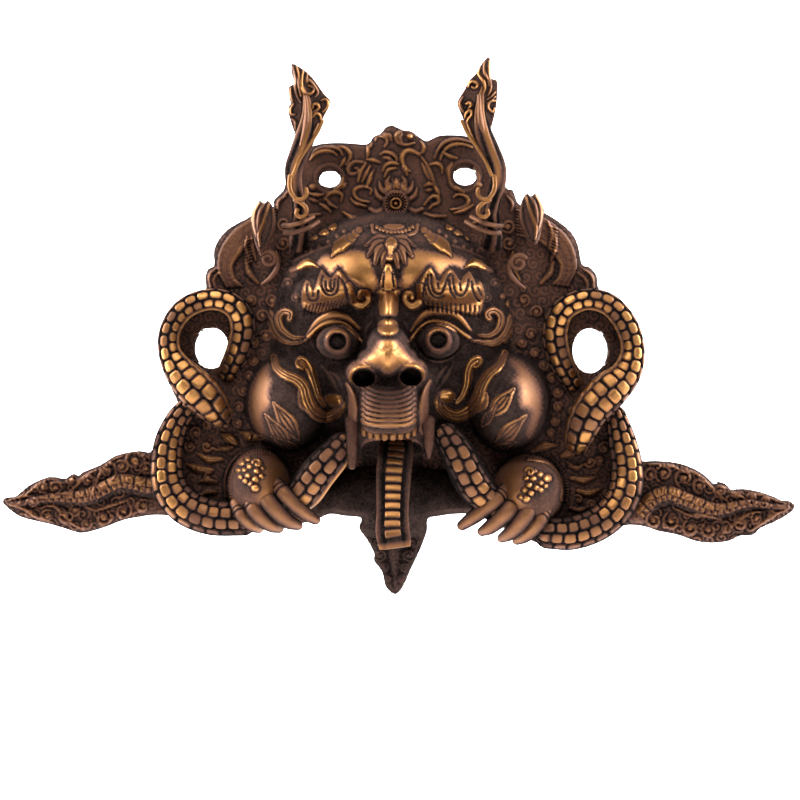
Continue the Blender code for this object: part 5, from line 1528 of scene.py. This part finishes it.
def bronzeMaterial():
    look = bronzeSettings
    made = bpy.data.materials.new("antiqueBronze")
    made.use_nodes = True
    tree = made.node_tree
    nodes, links = tree.nodes, tree.links
    shader = nodes["Principled BSDF"]
    space = nodes.new("ShaderNodeTexCoord")
    rub = nodes.new("ShaderNodeAttribute")
    rub.attribute_name = "rub"

    def noise(scale, detail, rough):
        made = nodes.new("ShaderNodeTexNoise")
        made.inputs["Scale"].default_value = scale
        made.inputs["Detail"].default_value = detail
        made.inputs["Roughness"].default_value = rough
        links.new(space.outputs["Object"], made.inputs["Vector"])
        return made.outputs["Fac"]

    def varied(a, b, factor):  # a + (b - 0.5) * factor
        middle = nodes.new("ShaderNodeMath")
        middle.operation = "SUBTRACT"
        links.new(b, middle.inputs[0])
        middle.inputs[1].default_value = 0.5
        scaled = nodes.new("ShaderNodeMath")
        scaled.operation = "MULTIPLY_ADD"
        links.new(middle.outputs[0], scaled.inputs[0])
        scaled.inputs[1].default_value = factor
        links.new(a, scaled.inputs[2])
        return scaled.outputs[0]

    def spread(value, low, high, start=0.0, end=1.0):
        ranged = nodes.new("ShaderNodeMapRange")
        links.new(value, ranged.inputs["Value"])
        ranged.inputs["From Min"].default_value = start
        ranged.inputs["From Max"].default_value = end
        ranged.inputs["To Min"].default_value = low
        ranged.inputs["To Max"].default_value = high
        return ranged.outputs["Result"]

    mottled = varied(rub.outputs["Fac"], noise(look["mottleScale"], 4, 0.6), 0.2)
    worn = varied(mottled, noise(look["fineScale"], 3, 0.6), 0.2)
    ramp = nodes.new("ShaderNodeValToRGB")
    while len(ramp.color_ramp.elements) < len(look["ramp"]):
        ramp.color_ramp.elements.new(0.5)
    for stop, (place, colour) in zip(ramp.color_ramp.elements, look["ramp"]):
        stop.position = place
        stop.color = (*colour, 1)
    links.new(worn, ramp.inputs["Fac"])
    links.new(ramp.outputs["Color"], shader.inputs["Base Color"])
    links.new(spread(worn, *look["metal"], *look["bare"]), shader.inputs["Metallic"])
    links.new(spread(worn, *look["roughness"]), shader.inputs["Roughness"])
    links.new(spread(worn, *look["shine"], *look["bare"]), shader.inputs["Specular IOR Level"])
    shader.inputs["Specular Tint"].default_value = look["shineTint"]
    grain = nodes.new("ShaderNodeBump")
    grain.inputs["Strength"].default_value = look["grain"]
    grain.inputs["Distance"].default_value = look["grainDepth"]
    pitted = varied(noise(look["castScale"], 2, 0.5), noise(look["fineScale"], 3, 0.6), 1.2)
    links.new(pitted, grain.inputs["Height"])
    links.new(grain.outputs["Normal"], shader.inputs["Normal"])
    return made


# The stage: a pale floor and wall, four soft lamps on the mask, two on the wall, and the camera in front.

stageSettings = {
    "floorZ": -0.60,
    "wallY": 1.6,
    "sky": 0.26,
    "lamps": [  # name, place, size and power
        ("keyLeft", (-0.5, -1.3, 1.05), (0.34, 0.34), 11),
        ("keyRight", (0.65, -1.35, 0.9), (0.34, 0.34), 6),
        ("fillLow", (0.0, -1.6, -0.5), (1.0, 0.3), 0.5),
        ("rimTop", (0.0, -0.3, 0.9), (1.0, 0.25), 6),
    ],
    "wallPower": 150,
    "paper": (0.93, 0.93, 0.93, 1),
    "backdropWidth": 9,
    "bendRadius": 0.8,
    "sensor": 36,
    "picture": 800,  # units of the drawing across the picture
}


def areaLight(name, place, target, size, power):
    data = bpy.data.lights.new(name, "AREA")
    data.shape = "RECTANGLE"
    data.size, data.size_y = size
    data.energy = power
    lamp = bpy.data.objects.new(name, data)
    lamp.location = place
    lamp.rotation_euler = (Vector(target) - Vector(place)).to_track_quat("-Z", "Y").to_euler()
    bpy.context.scene.collection.objects.link(lamp)
    return lamp


def studio():
    look = stageSettings
    radius = look["bendRadius"]
    bm = bmesh.new()
    bmesh.ops.create_grid(bm, x_segments=1, y_segments=24, size=0.5)
    for vert in bm.verts:
        share = vert.co.y + 0.5
        bend = min(max((share - 0.5) / 0.2, 0), 1) * math.pi / 2
        y = min(share, 0.5) * 8 - 4 + (look["wallY"] - radius) + radius * math.sin(bend)
        z = look["floorZ"] + radius * (1 - math.cos(bend)) + max(share - 0.7, 0) * 14
        vert.co = (vert.co.x * look["backdropWidth"], y, z)
    mesh = bpy.data.meshes.new("backdrop")
    bm.to_mesh(mesh)
    bm.free()
    mesh.polygons.foreach_set("use_smooth", [True] * len(mesh.polygons))
    backdrop = bpy.data.objects.new("backdrop", mesh)
    bpy.context.scene.collection.objects.link(backdrop)
    paper = bpy.data.materials.new("palePaper")
    paper.use_nodes = True
    paperShader = paper.node_tree.nodes["Principled BSDF"]
    paperShader.inputs["Base Color"].default_value = look["paper"]
    paperShader.inputs["Roughness"].default_value = 0.9
    mesh.materials.append(paper)
    world = bpy.data.worlds.new("studio")
    bpy.context.scene.world = world
    world.use_nodes = True
    sky = world.node_tree.nodes["Background"]
    sky.inputs["Color"].default_value = (1, 1, 1, 1)
    sky.inputs["Strength"].default_value = look["sky"]
    middle = (0, 0, -0.13)
    for name, place, size, power in look["lamps"]:
        areaLight(name, place, middle, size, power)
    for side in (-1, 1):
        target = (0.3 * side, look["wallY"], 0.0)
        areaLight("wallLamp", (1.7 * side, 0.5, 0.6), target, (1.2, 1.6), look["wallPower"])
    bpy.context.scene.view_settings.view_transform = "Standard"
    eyeU, eyeV = drawing["eye"]
    camera = bpy.data.cameras.new("camera")
    camera.lens = look["sensor"] * drawing["eyeDistance"] / (look["picture"] * drawing["unit"])
    camera.sensor_width = look["sensor"]
    shot = bpy.data.objects.new("camera", camera)
    shot.location = ((eyeU - drawing["origin"][0]) * drawing["unit"], -drawing["eyeDistance"],
                     (drawing["origin"][1] - eyeV) * drawing["unit"])
    shot.rotation_euler = (math.pi / 2, 0, 0)
    bpy.context.scene.collection.objects.link(shot)
    bpy.context.scene.camera = shot


# The front of the casting is made in patches that overlap a little where they meet.
sheetBoxes = {  # left, top, right, bottom and step
    "face": (265, 214, 528, 529, 0.95),
    "crown": (262, 118, 530, 216.5, 0.85),
    "leftField": (150, 195, 267, 540, 0.9),
    "rightField": (526, 185, 652, 550, 0.9),
    "pendant": (262, 526, 530, 600, 0.85),
    "leftTail": (-2, 440, 152, 545, 0.75),
    "rightTail": (650, 450, 800, 555, 0.75),
}

studio()
print("studio ready")
bronze = bronzeMaterial()
for name, (*box, step) in sheetBoxes.items():
    sheetPiece(name, box, step, bronze)
snakePieces(bronze)
handPieces(bronze)
hornPieces(bronze)
mouthPieces(bronze)
earPieces(bronze)
backPiece(bronze)
print("mask ready:", sum(len(piece.data.polygons) for piece in castingPieces) * 2, "triangles about")
